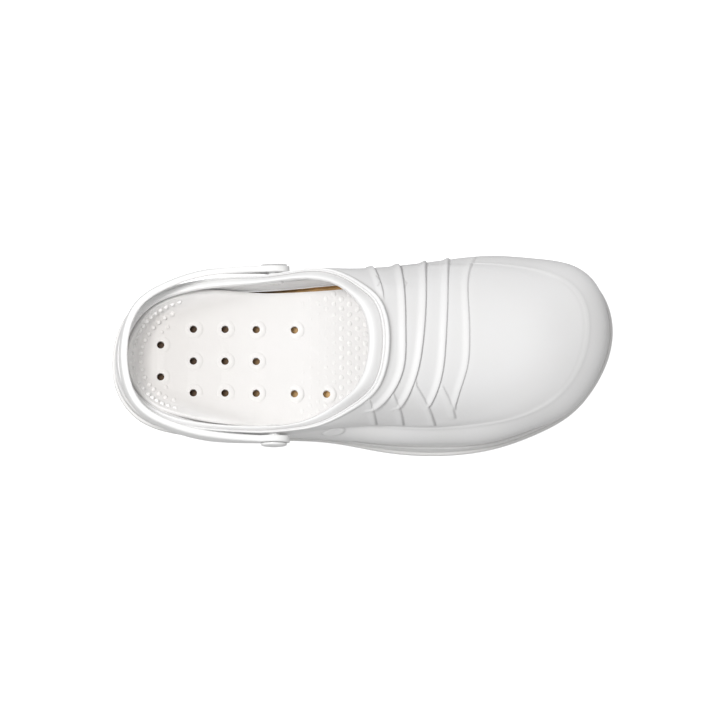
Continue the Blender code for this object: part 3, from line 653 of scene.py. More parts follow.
def foldShape(points):  # height, painted shade in the creases and painted highlights on the crests
    look = foldLook
    ridge, trough, dark, light = np.zeros((4, len(points)))
    angle = foldAngle(points)[1]
    lateral = smooth((look["lateralRun"][0] - angle) / look["lateralRun"][1])
    for number, (away, there, strength) in enumerate(foldDistances(points)):
        strength = there * strength
        climb = smooth((away + look["climb"]) / (look["climb"] - look["brow"]))
        fallen = smooth(away / look["drop"] + 0.5)
        ridge = np.maximum(ridge, strength * climb * (1 - fallen))
        past = away - look["drop"] * 0.5
        hollow = np.where(past > 0, np.clip(1 - past / look["troughLength"], 0, 1) ** 2, 0) * fallen
        trough = np.maximum(trough, strength * look["trough"] * hollow)
        # painted shade along each crease, painted highlight along the main folds' crests
        dark = np.maximum(dark, mix(*look["shade"], lateral) * strength * bell(away, *look["crease"]))
        if number < len(folds):
            light = np.maximum(light, mix(*look["highlightPaint"], lateral) * strength * bell(away, *look["crest"]))
    return look["rise"] * (ridge - trough), dark, light


def seenAcross(points):  # how far across the foot a point is seen from the camera
    tilt = math.radians(studio["elevation"])
    return math.sin(tilt) * points[:, 1] + math.cos(tilt) * points[:, 2]


def ovalPad(points):  # 0 at the middle of the plain oval pad on the lateral wall, 1 at its edge
    x, y, z = (points - upperLook["padPlace"]).T
    reach, rise = upperLook["padReach"]
    down = np.hypot(y, z - upperLook["padLean"] * x)
    return np.where(points[:, 1] < 0, np.hypot(x / reach, down / rise), 9.0)


hookMarks = (  # short creases near the folds' medial ends, from corner to corner as seen from above
    ((0.0076, 0.0451), (0.0098, 0.0424), (0.0084, 0.0402)),
    ((0.0221, 0.0446), (0.0239, 0.0421), (0.0226, 0.0394)),
)


def markShape(points):  # 1 along the hooked creases
    seen = np.stack([points[:, 0], seenAcross(points)], axis=1)
    near = np.zeros(len(points))
    for corners in hookMarks:
        for first, second in zip(corners[:-1], corners[1:]):
            first = np.array(first)
            run = np.array(second) - first
            share = np.clip((seen - first) @ run / (run @ run), 0, 1)
            away = np.linalg.norm(seen - first - share[:, None] * run, axis=1)
            near = np.maximum(near, bell(away, 0, upperLook["markWidth"]))
    return near * (points[:, 2] > upperLook["markFloor"])


def catmull(t):
    return (
        -0.5 * t + t ** 2 - 0.5 * t ** 3,
        1 - 2.5 * t ** 2 + 1.5 * t ** 3,
        0.5 * t + 2 * t ** 2 - 1.5 * t ** 3,
        -0.5 * t ** 2 + 0.5 * t ** 3,
    )


def gridPoint(grid, row, column):  # the smooth surface through a grid that closes round its columns
    rows, columns = grid.shape[:2]
    baseRow = np.clip(np.floor(row).astype(int), 0, rows - 2)
    baseColumn = np.floor(column).astype(int)
    found = np.zeros((len(row), 3))
    for i, rowPart in enumerate(catmull(row - baseRow)):
        for j, columnPart in enumerate(catmull(column - baseColumn)):
            corner = grid[np.clip(baseRow + i - 1, 0, rows - 1), (baseColumn + j - 1) % columns]
            found += (rowPart * columnPart)[:, None] * corner
    return found


def evenRows(keys, count, knots=None):  # a smooth run of rows through key rows
    keys = np.array(keys)
    if knots is None:
        steps = np.linalg.norm(np.diff(keys, axis=0), axis=2).mean(axis=1)
        knots = np.concatenate([[0], np.cumsum(steps)])
    curve = naturalSpline(knots, keys)
    return list(curve(np.linspace(knots[0], knots[-1], count)))


def vampLoops(edge, foot):  # from the shoulder line to the bead's foot, over the arch of the vamp
    run = np.linalg.norm(foot[:, :2] - edge[:, :2], axis=1)
    atEdge = edge[:, 2] - archHeight(edge[:, 0], edge[:, 1])
    atFoot = foot[:, 2] - archHeight(foot[:, 0], foot[:, 1])
    loops = []
    for share in vampShares:
        points = mix(edge, foot, share)
        arched = archHeight(points[:, 0], points[:, 1]) + mix(atEdge, atFoot, float(smooth(share)))
        points[:, 2] = mix(points[:, 2], arched, smooth(run / upperLook["shoulderRun"]))
        loops.append(points)
    return loops


def innerFace(keys):  # one wall thickness in; round the heel the thickness is measured level
    grid = np.array(keys)
    normal = np.cross(np.gradient(grid, axis=0), np.roll(grid, -1, axis=1) - np.roll(grid, 1, axis=1))
    normal[:, :, 2] *= smooth((shareAt(grid[:, :, 0]) - 0.36) / 0.16)
    normal /= np.linalg.norm(normal, axis=2)[:, :, None]
    inner = grid - normal * last["wall"]
    inner[0] = inset(grid[0], last["wall"])
    inner[1, :, 2] = grid[1, :, 2]
    return inner


def upperRows():
    look = upperLook
    turns = turnsRound(look["meridians"])
    leaned = collarTurn(turns)
    wall = outerWall(turns)
    crease = loop("crease", leaned, creaseHeight)
    lip = loop("lip", leaned)
    lip[:, 2] = crease[:, 2]
    fronts = (1 - np.cos(leaned)) / 2  # 0 at the heel, 1 at the collar's front
    band = look["beadWidth"] * mix(look["widthAtHeel"], 1, fronts ** 4)
    foot = inset(crease, -band)
    foot[:, 2] = crease[:, 2] - look["footDrop"] * look["beadWidth"]
    vamp = vampLoops(wall[-1], foot)
    inner = innerFace(wall + vamp + [foot])

    up = np.array([[0.0, 0.0, 1.0]])
    lift = mix(look["riseAtHeel"], 1, fronts)[:, None] * up
    bead = [inset(crease, -band * away) + look["beadRise"] * height * lift for away, height in beadSection]
    bead[0] = foot
    roll = [mix(crease, lip, share) + look["rollRise"] * height * lift for share, height in rollSection]
    fall = look["rollDrop"] * mix(look["dropAtHeel"], 1, fronts ** 4)[:, None] * up
    under = inset(lip, -0.25 * last["wall"]) - fall * 1.4
    roll += [lip - fall, under]
    inside = [under] + [inner[k] for k in (9, 8, 7, 5, 4, 2, 1, 0)]

    outer = evenRows(wall, look["wallRows"], (0, 0.23, 0.46, 0.76, 1))[:-1]
    shoulder = len(outer)
    outer += evenRows([wall[-1]] + vamp + [foot], look["vampRows"], (0,) + vampShares + (1,))
    for step in range(4):  # a soft shoulder instead of a knife edge
        near = range(shoulder - 2, shoulder + 3)
        outer[near.start:near.stop] = [mix(outer[r], (outer[r - 1] + outer[r + 1]) / 2, 0.5) for r in near]
    rows = outer + evenRows(bead, look["beadRows"])[1:] + evenRows(roll, look["rollRows"])[1:]
    rows += evenRows(inside, look["insideRows"], range(len(inside)))[1:]
    return np.array(rows), shoulder, len(outer)


def upperSurface(grid, outerCount):  # a mesh made finer only where folds, pad and marks cross it
    rows, columns = grid.shape[:2]
    shape = bmesh.new()
    rowLayer = shape.verts.layers.float.new("row")
    columnLayer = shape.verts.layers.float.new("column")
    corners = []
    for r in range(rows):
        for k in range(columns):
            corner = shape.verts.new(grid[r, k])
            corner[rowLayer] = r
            corner[columnLayer] = k
            corners.append(corner)
    for face in ringFaces(rows, columns, True):
        shape.faces.new([corners[k] for k in face])
    shape.verts.index_update()
    for ahead, behind in upperLook["fineBands"]:
        points = np.array([tuple(corner.co) for corner in shape.verts])
        row = np.array([corner[rowLayer] for corner in shape.verts])
        near = (ovalPad(points) < 1.4) | (markShape(points) > 0.001)
        for away, there, _ in foldDistances(points):
            near |= (away < ahead) & (away > behind) & (there > 0.01)
        near &= (row > 2) & (row < outerCount - 2)
        crossed = [face for face in shape.faces if any(near[corner.index] for corner in face.verts)]
        chosen = set()
        for edge in {edge for face in crossed for edge in face.edges}:
            first, second = edge.verts
            if abs(first[columnLayer] - second[columnLayer]) <= 2:  # not from the last column to the first
                chosen.add(edge)
        bmesh.ops.subdivide_edges(shape, edges=list(chosen), cuts=1, use_grid_fill=True)
        shape.verts.index_update()

    points = np.array([tuple(corner.co) for corner in shape.verts])
    row = np.array([corner[rowLayer] for corner in shape.verts])
    column = np.array([corner[columnLayer] for corner in shape.verts])
    added = (np.arange(len(points)) >= rows * columns) & (row <= outerCount - 1)
    points[added] = gridPoint(grid[:outerCount], row[added], column[added])
    shape.normal_update()
    normals = np.array([tuple(corner.normal) for corner in shape.verts])
    middle = outerCount // 2 * columns
    if np.dot(normals[middle], points[middle] - points.mean(axis=0)) < 0:
        normals = -normals
    faces = [[corner.index for corner in face.verts] for face in shape.faces]
    shape.free()
    return points, normals, row, faces


def upperRelief(points, aboveShoulder):  # height of folds, shoulder line, pad and marks, with their painted shade and painted highlights
    look = upperLook
    height, dark, light = foldShape(points)
    share = shareAt(points[:, 0])
    start = np.where(points[:, 1] > 0, look["ridgeStarts"][1], look["ridgeStarts"][0])
    ridge = bell(aboveShoulder, 0, look["shoulderRidgeWidth"]) * smooth((share - start) / 0.05)
    toe = smooth((share - look["toeLineStart"]) / 0.04)
    rim = ovalPad(points)
    mark = markShape(points)
    height += ridge * look["shoulderRidge"] + (1 - smooth((rim - 0.82) / 0.22)) * look["padRise"]
    height -= mark * look["markDepth"]
    # painted shade inside the toe's edge, round the pad's edge and along the marks; painted highlights
    # along the shoulder ridge and inside the pad's edge
    toeShadeLine = 0.32 * toe * bell(aboveShoulder, *look["toeShadeLine"])
    dark = strongest(dark, toeShadeLine, 0.75 * bell(rim, 1.03, 0.09), 0.6 * mark)
    light = strongest(light, 0.65 * ridge * (1 - toe), 0.8 * bell(rim, 0.78, 0.10))
    return height, dark, light


def collarShade(share, collarRow):  # painted shade in the creases and painted highlights on the rounds of bead and roll, counted in rows
    beadEnd = upperLook["beadRows"] - 1
    slope = 0.30 * smooth((collarRow - beadEnd) / 2) * (1 - smooth((collarRow - beadEnd - 4) / 8))
    groove = 0.7 * bell(collarRow, beadEnd * 0.62, 1.0)
    dark = strongest(bell(collarRow, 0.6, 1.6), groove, bell(collarRow, beadEnd, 1.3), slope)
    bead = bell(collarRow, beadEnd * 0.36, beadEnd * 0.16)
    lip = bell(collarRow, beadEnd * 0.84, beadEnd * 0.07)
    light = strongest(bead, lip, bell(collarRow, beadEnd + 15, 4.5)) * (collarRow > 0)
    return dark * smooth((share - 0.05) / 0.2), light


def makeUpper():
    grid, shoulder, outerCount = upperRows()
    points, normals, row, faces = upperSurface(grid, outerCount)
    rowLength = np.linalg.norm(grid[shoulder + 4] - grid[shoulder - 4], axis=1).mean() / 8
    relief = np.array(upperRelief(points, (row - shoulder) * rowLength))
    height, dark, light = relief * (row <= outerCount - 1)
    points = points + normals * height[:, None]
    collarDark, collarLight = collarShade(shareAt(points[:, 0]), row - (outerCount - 1))
    upper = makePiece("upper_shell", points, faces, foamMaterial("upperFoam", upperLook), sharp=60)
    # the dark mask holds painted shade, the light mask painted highlights
    addMask(upper, "dark", np.maximum(dark, collarDark))
    addMask(upper, "light", np.maximum(light, collarLight))
    settle(upper, "upper")
    print("upper:", len(upper.data.polygons), "faces")


# The two layers of the sole
soleLook = {
    "meridians": 320,
    "outsoleThickness": 0.0052,
    "outsoleLedge": 0.0016,
    "sideStep": 0.0008,
    "footbedDepth": 0.0063,
    "treadDepth": 0.0025,
    "treadWidth": 0.0042,
    "treadBorder": 0.0075,
    "treadBow": 0.006,
    "shadePaintRows": ((1, 0.9), (2, 0.4), (9, 0.8), (14, 0.9)),  # rows of the midsole's side painted with shade at its steps and joins, and how dark
    "colour": (0.865, 0.862, 0.855),
    "roughness": 0.52,
}
treadLook = {"colour": (0.85, 0.845, 0.835), "roughness": 0.6, "grainScale": 1100.0, "bump": 0.4}
footbedLook = {
    "run": (-0.098, -0.025),  # painted shade from under the heel to where it is lightest
    "fade": 2.5,
    "heelColour": (0.05, 0.024, 0.01),
    "colour": (0.78, 0.50, 0.22),
    "mottle": (0.16, 0.085, 0.03),
    "roughness": 0.7,
}
treadPlaces = (0.085, 0.130, 0.175, 0.220, 0.265, 0.550, 0.595, 0.640, 0.685, 0.730, 0.775, 0.820, 0.865)
outsoleSection = (  # inset in millimetres, height as a share of the layer
    (3.4, 0.0), (2.0, 0.09), (0.9, 0.26), (0.2, 0.42), (0.0, 0.55), (0.1, 0.74), (0.4, 0.90),
    (0.9, 0.98), (1.4, 1.0),
)
midsoleSection = (  # share of the height, inset in side steps
    (0.00, 0.8), (0.02, 0.15), (0.05, 0.0), (0.18, 0.0), (0.34, 0.0), (0.45, -0.18), (0.51, -0.30),
    (0.535, 0.10), (0.552, 0.85), (0.58, 1.0), (0.70, 0.75), (0.90, 0.30), (0.96, 0.36), (1.00, 0.90),
)


def treadBar(place, steps=20):  # a bowed cutter across the sole
    look = soleLook
    middle = float(lengthAt(place))
    turn = float(turnOf(place))
    low = last["ballWidth"] * float(widthOf["sole"](2 * math.pi - turn)) + look["treadBorder"]
    high = last["ballWidth"] * float(widthOf["sole"](turn)) - look["treadBorder"]
    points = []
    for k in range(steps + 1):
        share = k / steps
        x = middle + look["treadBow"] * (0.5 - (2 * share - 1) ** 2)
        y = mix(low, high, share)
        for end, lift in ((-1, -1), (1, -1), (1, 1), (-1, 1)):
            at = x + end * look["treadWidth"] / 2
            base = float(groundHeight(at if lift > 0 else x))
            points.append((at, y, base + lift * look["treadDepth"]))
    return points, tubeFaces(steps + 1, 4)


def makeOutsole():
    look = soleLook
    count = look["meridians"]
    sole = loop("sole", turnsRound(count))
    rows = []
    for distance, share in outsoleSection:
        rise = share * look["outsoleThickness"]
        rows.append(atHeight(inset(sole, distance * 0.001), lambda x: groundHeight(x) + rise))
    foam = foamMaterial("treadFoam", treadLook)
    outsole = makePiece("outsole_tread", rows, loftFaces(len(rows), count), foam)
    cutWith(outsole, [treadBar(place) for place in treadPlaces])
    settle(outsole, "outsole")
    print("outsole:", len(outsole.data.polygons), "faces")


def footbedMaterial():  # the brown footbed under the insole, with painted shade darkest under the heel
    look = footbedLook
    material, tree, shader = newMaterial("footbedBrown")
    place = placeNode(tree)
    along = mathNode(tree, "POWER", rangeNode(tree, axesOf(tree, place)["X"], *look["run"]), look["fade"])
    mottle = rangeNode(tree, noiseNode(tree, 220.0, 3.0, place), 0.3, 0.7)
    # painted shade: near black under the heel, fading to the footbed's brown further forward
    brown = mixColour(tree, along, look["heelColour"], look["colour"])
    mottled = mixColour(tree, mathNode(tree, "MULTIPLY", mottle, 0.3), brown, look["mottle"])
    tree.links.new(mottled, shader.inputs["Base Color"])
    shader.inputs["Roughness"].default_value = look["roughness"]
    addBump(tree, shader, noiseNode(tree, 900.0, 2.0, place), 0.3, 0.0003)
    return material


def makeMidsole():
    look = soleLook
    count = look["meridians"]
    turns = turnsRound(count)
    sole = loop("sole", turns)
    start = look["outsoleThickness"] + last["gap"]
    bottom = atHeight(inset(sole, look["outsoleLedge"]), lambda x: groundHeight(x) + start)
    seam = loop("seam", turns, lambda x, turn: seamHeight(x) - last["gap"])
    rows = [inset(bottom, look["outsoleLedge"])]
    rows += [inset(mix(bottom, seam, share), steps * look["sideStep"]) for share, steps in midsoleSection]
    ledge = inset(seam, last["wall"] + 2 * last["gap"])
    floor = atHeight(ledge, lambda x: seamHeight(x) - look["footbedDepth"])
    rows += [ledge, inset(floor, last["gap"])]
    midsole = makePiece("midsole_body", rows, loftFaces(len(rows), count), foamMaterial("soleFoam", look))
    midsole.data.materials.append(footbedMaterial())
    well = (len(rows) - 2) * count
    for face in midsole.data.polygons:
        if min(face.vertices) >= well:
            face.material_index = 1
    # painted shade along those rows
    dark = np.zeros((len(rows), count))
    for row, amount in look["shadePaintRows"]:
        dark[row] = amount
    addMask(midsole, "dark", dark.ravel())
    settle(midsole, "midsole")
    print("midsole:", len(midsole.data.polygons), "faces")


# The insole: a shallow pad with a raised heel cup, vent holes on round pads and rows of nubs
insoleLook = {
    "meridians": 240,
    "thickness": 0.0050,
    "play": 0.0011,
    "heelPlay": 0.0003,
    "lateralPlay": 0.0011,
    "medialPlay": 0.0012,
    "playStarts": (-0.112, -0.092),  # lateral and medial, and over how far the gap opens
    "playRuns": (0.02, 0.04),
    "medialWiden": 0.0016,
    "widens": (-0.070, 0.055),  # from here, over this
    "narrows": (0.02, 0.03),
    "dish": 0.0004,
    "cupRise": 0.0102,
    "cupStart": 0.10,
    "cupEnd": 0.36,
    "holeDiameter": 0.0040,
    "holeSpacing": 0.0172,
    "holesCentre": -0.031,
    "padRadius": 0.0052,
    "padRise": 0.00035,
    "nubRadius": 0.0018,
    "nubRise": 0.00045,
    "heelNubRadius": 0.0012,
    "sink": 0.0004,  # how far nubs and pads reach into the insole
    # painted shade towards the heel on the insole's flat: strength, where it runs, between which heights
    "heelShade": 0.95,
    "heelShadeRun": (-0.030, -0.100),
    "heelShadeHeights": (0.0385, 0.0345),
    "colour": (0.915, 0.903, 0.892),
    "shade": (0.87, 0.85, 0.83),
    # the colour of that painted shade
    "crease": (0.57, 0.54, 0.515),
    "roughness": 0.66,
    "grainScale": 900.0,
    "bump": 0.35,
}
holeRows = (
    (0.099, (-0.5, 0.5)), (0.164, (-1, 0, 1)), (0.227, (-1, 0, 1)), (0.289, (-1, 0, 1)),
    (0.365, (-1, 1)), (0.429, (-1,)),
)
padSection = (  # share of the way out from the hole to the pad's edge, share of its rise; -1 is sunk in
    (1, -1), (1, 0), (0.86, 0.55), (0.7, 0.9), (0.5, 1), (0.12, 1), (0, 0.75), (0, -1),
)
domeSection = (1.0, 0.86, 0.6, 0.28)
cupSection = (  # distance in from the insole's edge in millimetres, share of the cup's rise
    (0.0, 0.88), (0.7, 0.97), (1.5, 1.00), (2.6, 0.90), (4.2, 0.66), (6.0, 0.42), (8.6, 0.20),
    (11.6, 0.06), (15.0, 0.0),
)
nubLook = {
    "arcs": (  # distance from the edge, spacing, how far forward, what stays free at the middle
        (0.0038, 0.0028, -0.098, 0), (0.0082, 0.0034, -0.100, 0), (0.0130, 0.0038, -0.104, 0.012),
    ),
    "arcMiddle": -0.003,
    "columns": 9,
    "fullColumns": 4,
    "faded": (0.55, 0.08),  # rise of the first one behind these, and how much less each next one has
    "columnStart": 0.0015,
    "columnStep": 0.0043,
    "middle": 0.002,
    "step": 0.0053,
}


def insoleTop(x):
    return seamHeight(x) - soleLook["footbedDepth"] + last["gap"] + insoleLook["thickness"]


def cupAt(x):
    look = insoleLook
    return look["cupRise"] * smooth((look["cupEnd"] - shareAt(x)) / (look["cupEnd"] - look["cupStart"]))


def playRound(x, y):  # tight round the heel, a thin line at the lateral side, wider on the medial
    look = insoleLook
    side = np.where(y > 0, look["medialPlay"], look["lateralPlay"])
    start = np.where(y > 0, look["playStarts"][1], look["playStarts"][0])
    run = np.where(y > 0, look["playRuns"][1], look["playRuns"][0])
    wider = smooth((x - look["widens"][0]) / look["widens"][1])
    wider *= 1 - smooth((x - look["narrows"][0]) / look["narrows"][1])
    return mix(look["heelPlay"], side, smooth((x - start) / run)) + look["medialWiden"] * wider * (y > 0)


def wallLoopAt(wall, heights):
    found = wall[0].copy()
    for lower, upper in zip(wall[:-1], wall[1:]):
        share = np.clip((heights - lower[:, 2]) / (upper[:, 2] - lower[:, 2]), 0, 1)
        found = np.where((share > 0)[:, None], mix(lower, upper, share[:, None]), found)
    found[:, 2] = heights
    return found


def domeMesh(centre, radius, rise, sides=12):
    points = []
    for share in domeSection:
        height = rise * (1 - share ** 2) if share < 1 else -insoleLook["sink"]
        points += circlePoints(centre, radius * share, height, sides)
    return points, tubeFaces(len(domeSection), sides)


def padMesh(centre, sides=40):
    look = insoleLook
    points = []
    for share, height in padSection:
        rise = -look["sink"] if height < 0 else height * look["padRise"]
        points += circlePoints(centre, mix(look["holeDiameter"] / 2, look["padRadius"], share), rise, sides)
    return points, ringFaces(len(padSection), sides, True)


def ventCutter(centre, sides=40, reach=0.02):
    radius = insoleLook["holeDiameter"] / 2
    points = circlePoints(centre, radius, -reach, sides) + circlePoints(centre, radius, reach, sides)
    return points, tubeFaces(2, sides)


def ventPlaces():
    look = insoleLook
    places = []
    for share, columns in holeRows:
        x = float(lengthAt(share))
        for spot in columns:
            y = last["ballWidth"] * look["holesCentre"] + spot * look["holeSpacing"]
            places.append((x, y, float(insoleTop(x)) - look["dish"]))
    return places


def nubPlaces(edge):  # arcs round the heel, then staggered columns at the front
    look = nubLook
    places = []
    for distance, pitch, reach, free in look["arcs"]:
        line = inset(edge, distance)
        steps = np.linalg.norm(np.roll(line, -1, axis=0) - line, axis=1)
        travelled = 0.0
        for (x, y), step in zip(line[:, :2], steps):
            travelled += step
            if travelled > pitch:
                travelled = 0.0
                if x < reach and abs(y - look["arcMiddle"]) >= free:
                    places.append((x, y, distance, 1.0))
    for number in range(look["columns"]):
        x = look["columnStart"] - look["columnStep"] * number
        behind = number - look["fullColumns"]
        strength = 1.0 if behind < 0 else look["faded"][0] - look["faded"][1] * behind
        for k in range(-8, 9):
            y = look["middle"] + look["step"] * (k + 0.5 * (number % 2))
            places.append((x, y, None, strength))
    return places


def nubMeshes(wall, edge, vents):  # a dome on the insole's top at each place that is free
    look = insoleLook
    profileAt = naturalSpline([row[0] * 0.001 for row in cupSection], [row[1] for row in cupSection])
    cavity = inset(wall[0], last["wall"] + look["play"] + 0.003)
    nubs = []
    for x, y, distance, strength in nubPlaces(edge):
        hole = min(math.hypot(x - vent[0], y - vent[1]) for vent in vents)
        beside = cavity[np.argsort(np.abs(cavity[:, 0] - x))[:4], 1]
        if distance is None and not beside.min() < y < beside.max() or hole < look["padRadius"] + 0.0008:
            continue
        base = float(insoleTop(x))
        radius = look["heelNubRadius"]
        if distance is None:
            inside = float(np.hypot(edge[:, 0] - x, edge[:, 1] - y).min())
            base -= look["dish"] * min(max((inside - 0.0116) / 0.0034, 0), 1)
            radius = look["nubRadius"]
        else:
            base += float(cupAt(x)) * float(profileAt(distance))
        nubs.append(domeMesh((x, y, base), radius, look["nubRise"] * strength))
    return nubs


def joinMeshes(name, parts, material):
    points = []
    faces = []
    for partPoints, partFaces in parts:
        base = len(points)
        points += partPoints
        faces += [tuple(base + k for k in face) for face in partFaces]
    return makePiece(name, points, faces, material)


def makeInsole():
    look = insoleLook
    count = look["meridians"]
    wall = outerWall(turnsRound(count))
    play = playRound(wall[0][:, 0], wall[0][:, 1])
    lowPlay = np.maximum(play, look["play"])
    bottom = inset(wall[0], last["wall"] + lowPlay)
    bottom[:, 2] = seamHeight(bottom[:, 0]) - soleLook["footbedDepth"] + last["gap"]
    top = bottom[:, 2] + look["thickness"]
    cups = cupAt(wall[0][:, 0])
    upright = bottom.copy()
    upright[:, 2] = np.minimum(wall[0][:, 2], mix(bottom[:, 2], top + cups * cupSection[0][1], 0.8))
    rows = [bottom, upright]
    for distance, share in cupSection:
        heights = top + cups * share - (0.0 if share else look["dish"])
        low = np.where(heights < wall[0][:, 2] + 0.0002, lowPlay, play)
        rows.append(inset(wallLoopAt(wall, heights), last["wall"] + low + distance * 0.001))
    liner = foamMaterial("insoleFoam", look)
    insole = makePiece("insole_pad", rows, loftFaces(len(rows), count), liner, sharp=50)
    vents = ventPlaces()
    cutWith(insole, [ventCutter(place) for place in vents], sharp=50)
    settle(insole, "insole")
    settle(joinMeshes("insole_vent_pads", [padMesh(place) for place in vents], liner), None)
    nubs = nubMeshes(wall, rows[2], vents)
    settle(joinMeshes("insole_nubs", nubs, liner), None)
    print("insole:", len(insole.data.polygons), "faces,", len(nubs), "nubs")


# The swing strap and what holds it
strapLook = {
    "steps": 90,
    "thickness": 0.0036,
    "height": 0.0110,
    "endRadius": 0.0085,
    "lean": 0.14,
    "lift": 0.0088,
    "pivotDrop": 0.0060,
    "rearAt": 0.0333,
    "pivotAt": 0.3248,
    "edgeRadius": 0.0011,
    "colour": (0.93, 0.93, 0.925),
    "roughness": 0.42,
}
strapRows = (  # along the strap, lateral and medial face as shares of the ball width
    (0.00, -0.027, -0.027), (0.25, -0.255, 0.200), (0.50, -0.375, 0.327), (0.70, -0.431, 0.395),
    (0.85, -0.446, 0.413), (1.00, -0.447, 0.417),
)
rivetLook = {
    "segments": 72,
    "radius": 0.0070,
    "rim": 0.0007,
    "dome": 0.0013,
    "medialSink": 0.0011,
    "shank": 0.0030,
    "capRadius": 0.0050,
    "capThickness": 0.0014,
    "colour": (0.88, 0.88, 0.878),
    "roughness": 0.30,
    "grainScale": 2200.0,
    "bump": 0.12,
}


capSection = (  # shares of the cap's radius and thickness
    (1, 0), (1, 0.45), (0.93, 0.72), (0.75, 0.9), (0.4, 0.98), (0.1, 1),
)


def roundedBand(half, thickness, radius, corner=5):  # depth and height round the strap's section
    radius = min(radius, half * 0.9, thickness * 0.45)
    section = []
    for depth, height, first in (
        (thickness - radius, -half + radius, 270), (thickness - radius, half - radius, 0),
        (radius, half - radius, 90), (radius, -half + radius, 180),
    ):
        for k in range(corner):
            angle = math.radians(first + 90 * k / (corner - 1))
            section.append((depth + radius * math.cos(angle), height + radius * math.sin(angle)))
    return section


def makeStrap():
    look = strapLook
    alongs = [row[0] for row in strapRows]
    face = naturalSpline(
        [-a for a in alongs[:0:-1]] + alongs,
        [row[1] for row in strapRows[:0:-1]] + [row[2] for row in strapRows],
    )
    rear = float(lengthAt(look["rearAt"]))
    pivot = float(lengthAt(look["pivotAt"]))
    radius = look["endRadius"]
    tip = pivot + 0.995 * radius
    disc = [pivot + radius * math.cos(math.radians(angle)) for angle in range(6, 136, 6)]
    disc = [math.sqrt((x - rear) / (tip - rear)) for x in disc]
    halves = disc + [disc[-1] * (1 - k / look["steps"]) for k in range(1, look["steps"])]
    path = [-q for q in halves] + [0.0] + halves[::-1]
    rim = float(aboveSeam(lengthAt(loopEnds["crease"][0]), riseOf["crease"](0.0)))
    back, front = loopEnds["crease"]
    turn = float(turnOf((look["pivotAt"] - back) / (front - back)))
    pivotHeight = min(float(creaseHeight(pivot, side)) for side in (turn, 2 * math.pi - turn))
    pivotHeight -= look["pivotDrop"]
    climb = rim + look["lift"] + look["height"] / 2 - pivotHeight
    points = []
    for q in path:
        x = rear + (tip - rear) * q * q
        y = last["ballWidth"] * float(face(q))
        step = 0.002
        ahead = np.array([
            (tip - rear) * ((q + step) ** 2 - (q - step) ** 2),
            last["ballWidth"] * float(face(min(q + step, 1)) - face(max(q - step, -1))),
        ])
        out = np.array([-ahead[1], ahead[0]]) / np.linalg.norm(ahead)
        middle = pivotHeight + climb * max(pivot - x, 0) / (pivot - rear)
        away = x - pivot
        half = look["height"] / 2
        if abs(away) < radius:
            reach = math.sqrt(radius ** 2 - away ** 2)
            half = reach if away > 0 else max(reach, half)
        lean = look["lean"] * min(1.0, max(0.0, (pivot - x) / (3 * radius) - 0.3))
        for depth, height in roundedBand(half, look["thickness"], look["edgeRadius"]):
            shift = depth - lean * height
            points.append((x + out[0] * shift, y + out[1] * shift, middle + height))
    faces = tubeFaces(len(path), len(points) // len(path))
    strap = makePiece("heel_strap", points, faces, foamMaterial("strapFoam", look), sharp=50)
    settle(strap, "strap")
    print("strap:", len(strap.data.polygons), "faces")


def turned(name, section, centre, side, material):  # a solid of revolution about the foot's cross axis
    count = rivetLook["segments"]
    points = []
    for radius, reach in section:
        for k in range(count):
            angle = 2 * math.pi * k / count
            across = (radius * math.cos(angle), radius * math.sin(angle))
            points.append((centre[0] + across[0], centre[1] + side * reach, centre[2] + across[1]))
    return makePiece(name, points, tubeFaces(len(section), count), material, centred=False)


def makeRivets():
    look = rivetLook
    plastic = foamMaterial("rivetPlastic", look)
    for label, side in (("lateral", -1), ("medial", 1)):
        low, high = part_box("rivet_" + label)
        centre = (low + high) / 2
        outer = high.y if side > 0 else low.y
        inner = low.y if side > 0 else high.y
        seat = outer - side * (look["rim"] + look["dome"])
        shank = abs(seat - inner)
        radius = look["radius"]
        rim = look["rim"]
        dome = look["dome"] - (look["medialSink"] if side > 0 else 0.0)
        section = [(look["shank"], -shank), (look["shank"], 0), (radius * 0.98, 0)]
        section += [(radius, rim * 0.2), (radius, rim * 0.85)]
        for degrees in range(10, 90, 8):
            angle = math.radians(degrees)
            section.append((radius * math.cos(angle), rim + dome * math.sin(angle) ** 0.9))
        rivet = turned("rivet_head_" + label, section, (centre.x, seat, centre.z), side, plastic)
        settle(rivet, "rivet_" + label)
        low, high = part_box("cap_" + label)
        centre = (low + high) / 2
        seat = high.y if side > 0 else low.y
        section = [(look["capRadius"] * out, look["capThickness"] * up) for out, up in capSection]
        cap = turned("rivet_cap_" + label, section, (centre.x, seat, centre.z), -side, plastic)
        settle(cap, "cap_" + label)
    print("rivets and caps made")


# Pale floor, soft light from above and the heel, and the camera almost straight above
studio = {
    "cameraDistance": 6.0,
    "elevation": 84,
    "frameWidth": 0.3888,
    "aimX": -0.0012,
    "aimY": 0.0008,
    "skyTop": 0.60,
    "skyRim": 0.36,
    "keyPlace": (-0.50, 0.08, 1.48),
    "keySize": 0.36,
    "keyPower": 15.0,
    "floorSeen": (0.93, 0.93, 0.93),
    "floorBounce": (0.55, 0.55, 0.55),
    "floorGlow": 0.72,
    "floorReach": 3.0,
    "floorDrop": 0.0005,
}


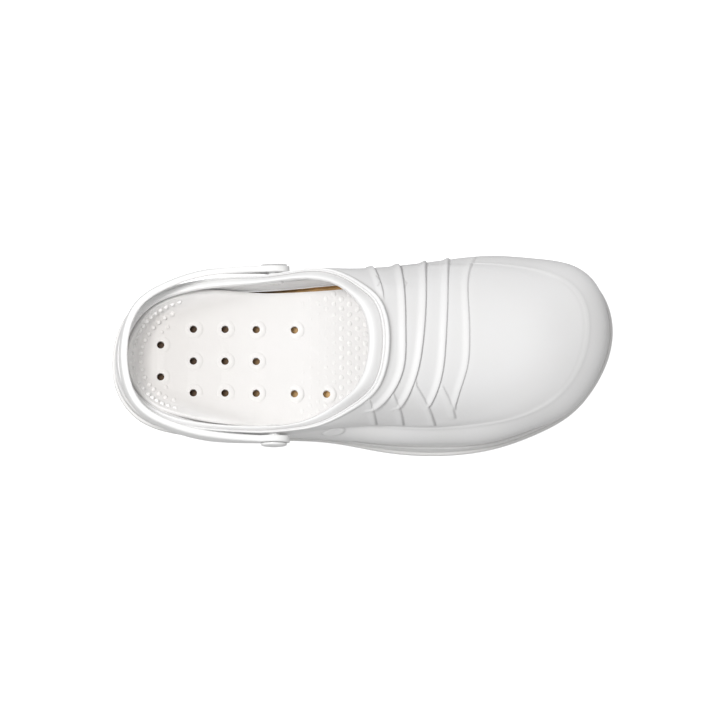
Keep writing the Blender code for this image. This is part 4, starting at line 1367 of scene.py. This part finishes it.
def makeStudio():
    scene = bpy.context.scene
    scene.view_settings.view_transform = "Standard"
    world = bpy.data.worlds.new("paleRoom")
    scene.world = world
    world.use_nodes = True
    tree = world.node_tree
    background = tree.nodes["Background"]
    background.inputs["Color"].default_value = (1, 1, 1, 1)
    upward = axesOf(tree, placeNode(tree, "Generated"))["Z"]
    sky = rangeNode(tree, upward, 0.0, 1.0, studio["skyRim"], studio["skyTop"])
    tree.links.new(sky, background.inputs["Strength"])

    mesh = bpy.data.meshes.new("floor")
    reach = studio["floorReach"]
    corners = [(-reach, -reach, 0), (reach, -reach, 0), (reach, reach, 0), (-reach, reach, 0)]
    mesh.from_pydata(corners, [], [(0, 1, 2, 3)])
    floor = newThing("floor", mesh)
    material, tree, shader = newMaterial("paleFloor")
    seen = tree.nodes.new("ShaderNodeLightPath").outputs["Is Camera Ray"]
    floorColour = mixColour(tree, seen, studio["floorBounce"], studio["floorSeen"])
    tree.links.new(floorColour, shader.inputs["Base Color"])
    shader.inputs["Roughness"].default_value = 0.9
    shader.inputs["Specular IOR Level"].default_value = 0.1
    glow = mixColour(tree, seen, (0.0, 0.0, 0.0), (studio["floorGlow"],) * 3)
    tree.links.new(glow, shader.inputs["Emission Color"])
    shader.inputs["Emission Strength"].default_value = 1.0
    mesh.materials.append(material)
    floor.location.z = -studio["floorDrop"]

    light = bpy.data.lights.new("keySoftbox", "AREA")
    light.shape = "SQUARE"
    light.size = studio["keySize"]
    light.energy = studio["keyPower"]
    key = newThing("keySoftbox", light)
    key.location = studio["keyPlace"]
    key.rotation_euler = (-Vector(studio["keyPlace"])).to_track_quat("-Z", "Y").to_euler()

    camera = newThing("camera", bpy.data.cameras.new("camera"))
    camera.data.sensor_width = 36
    camera.data.lens = 36 * studio["cameraDistance"] / studio["frameWidth"]
    camera.data.clip_end = 50
    tilt = math.radians(studio["elevation"])
    back = Vector((0, -math.cos(tilt), math.sin(tilt)))
    target = Vector((studio["aimX"] + lastShift[0], studio["aimY"] + lastShift[1], 0))
    camera.location = target + back * studio["cameraDistance"]
    camera.rotation_euler = (-back).to_track_quat("-Z", "Y").to_euler()
    scene.camera = camera


makeUpper()
makeMidsole()
makeOutsole()
makeInsole()
makeStrap()
makeRivets()
makeStudio()
print("scene ready")
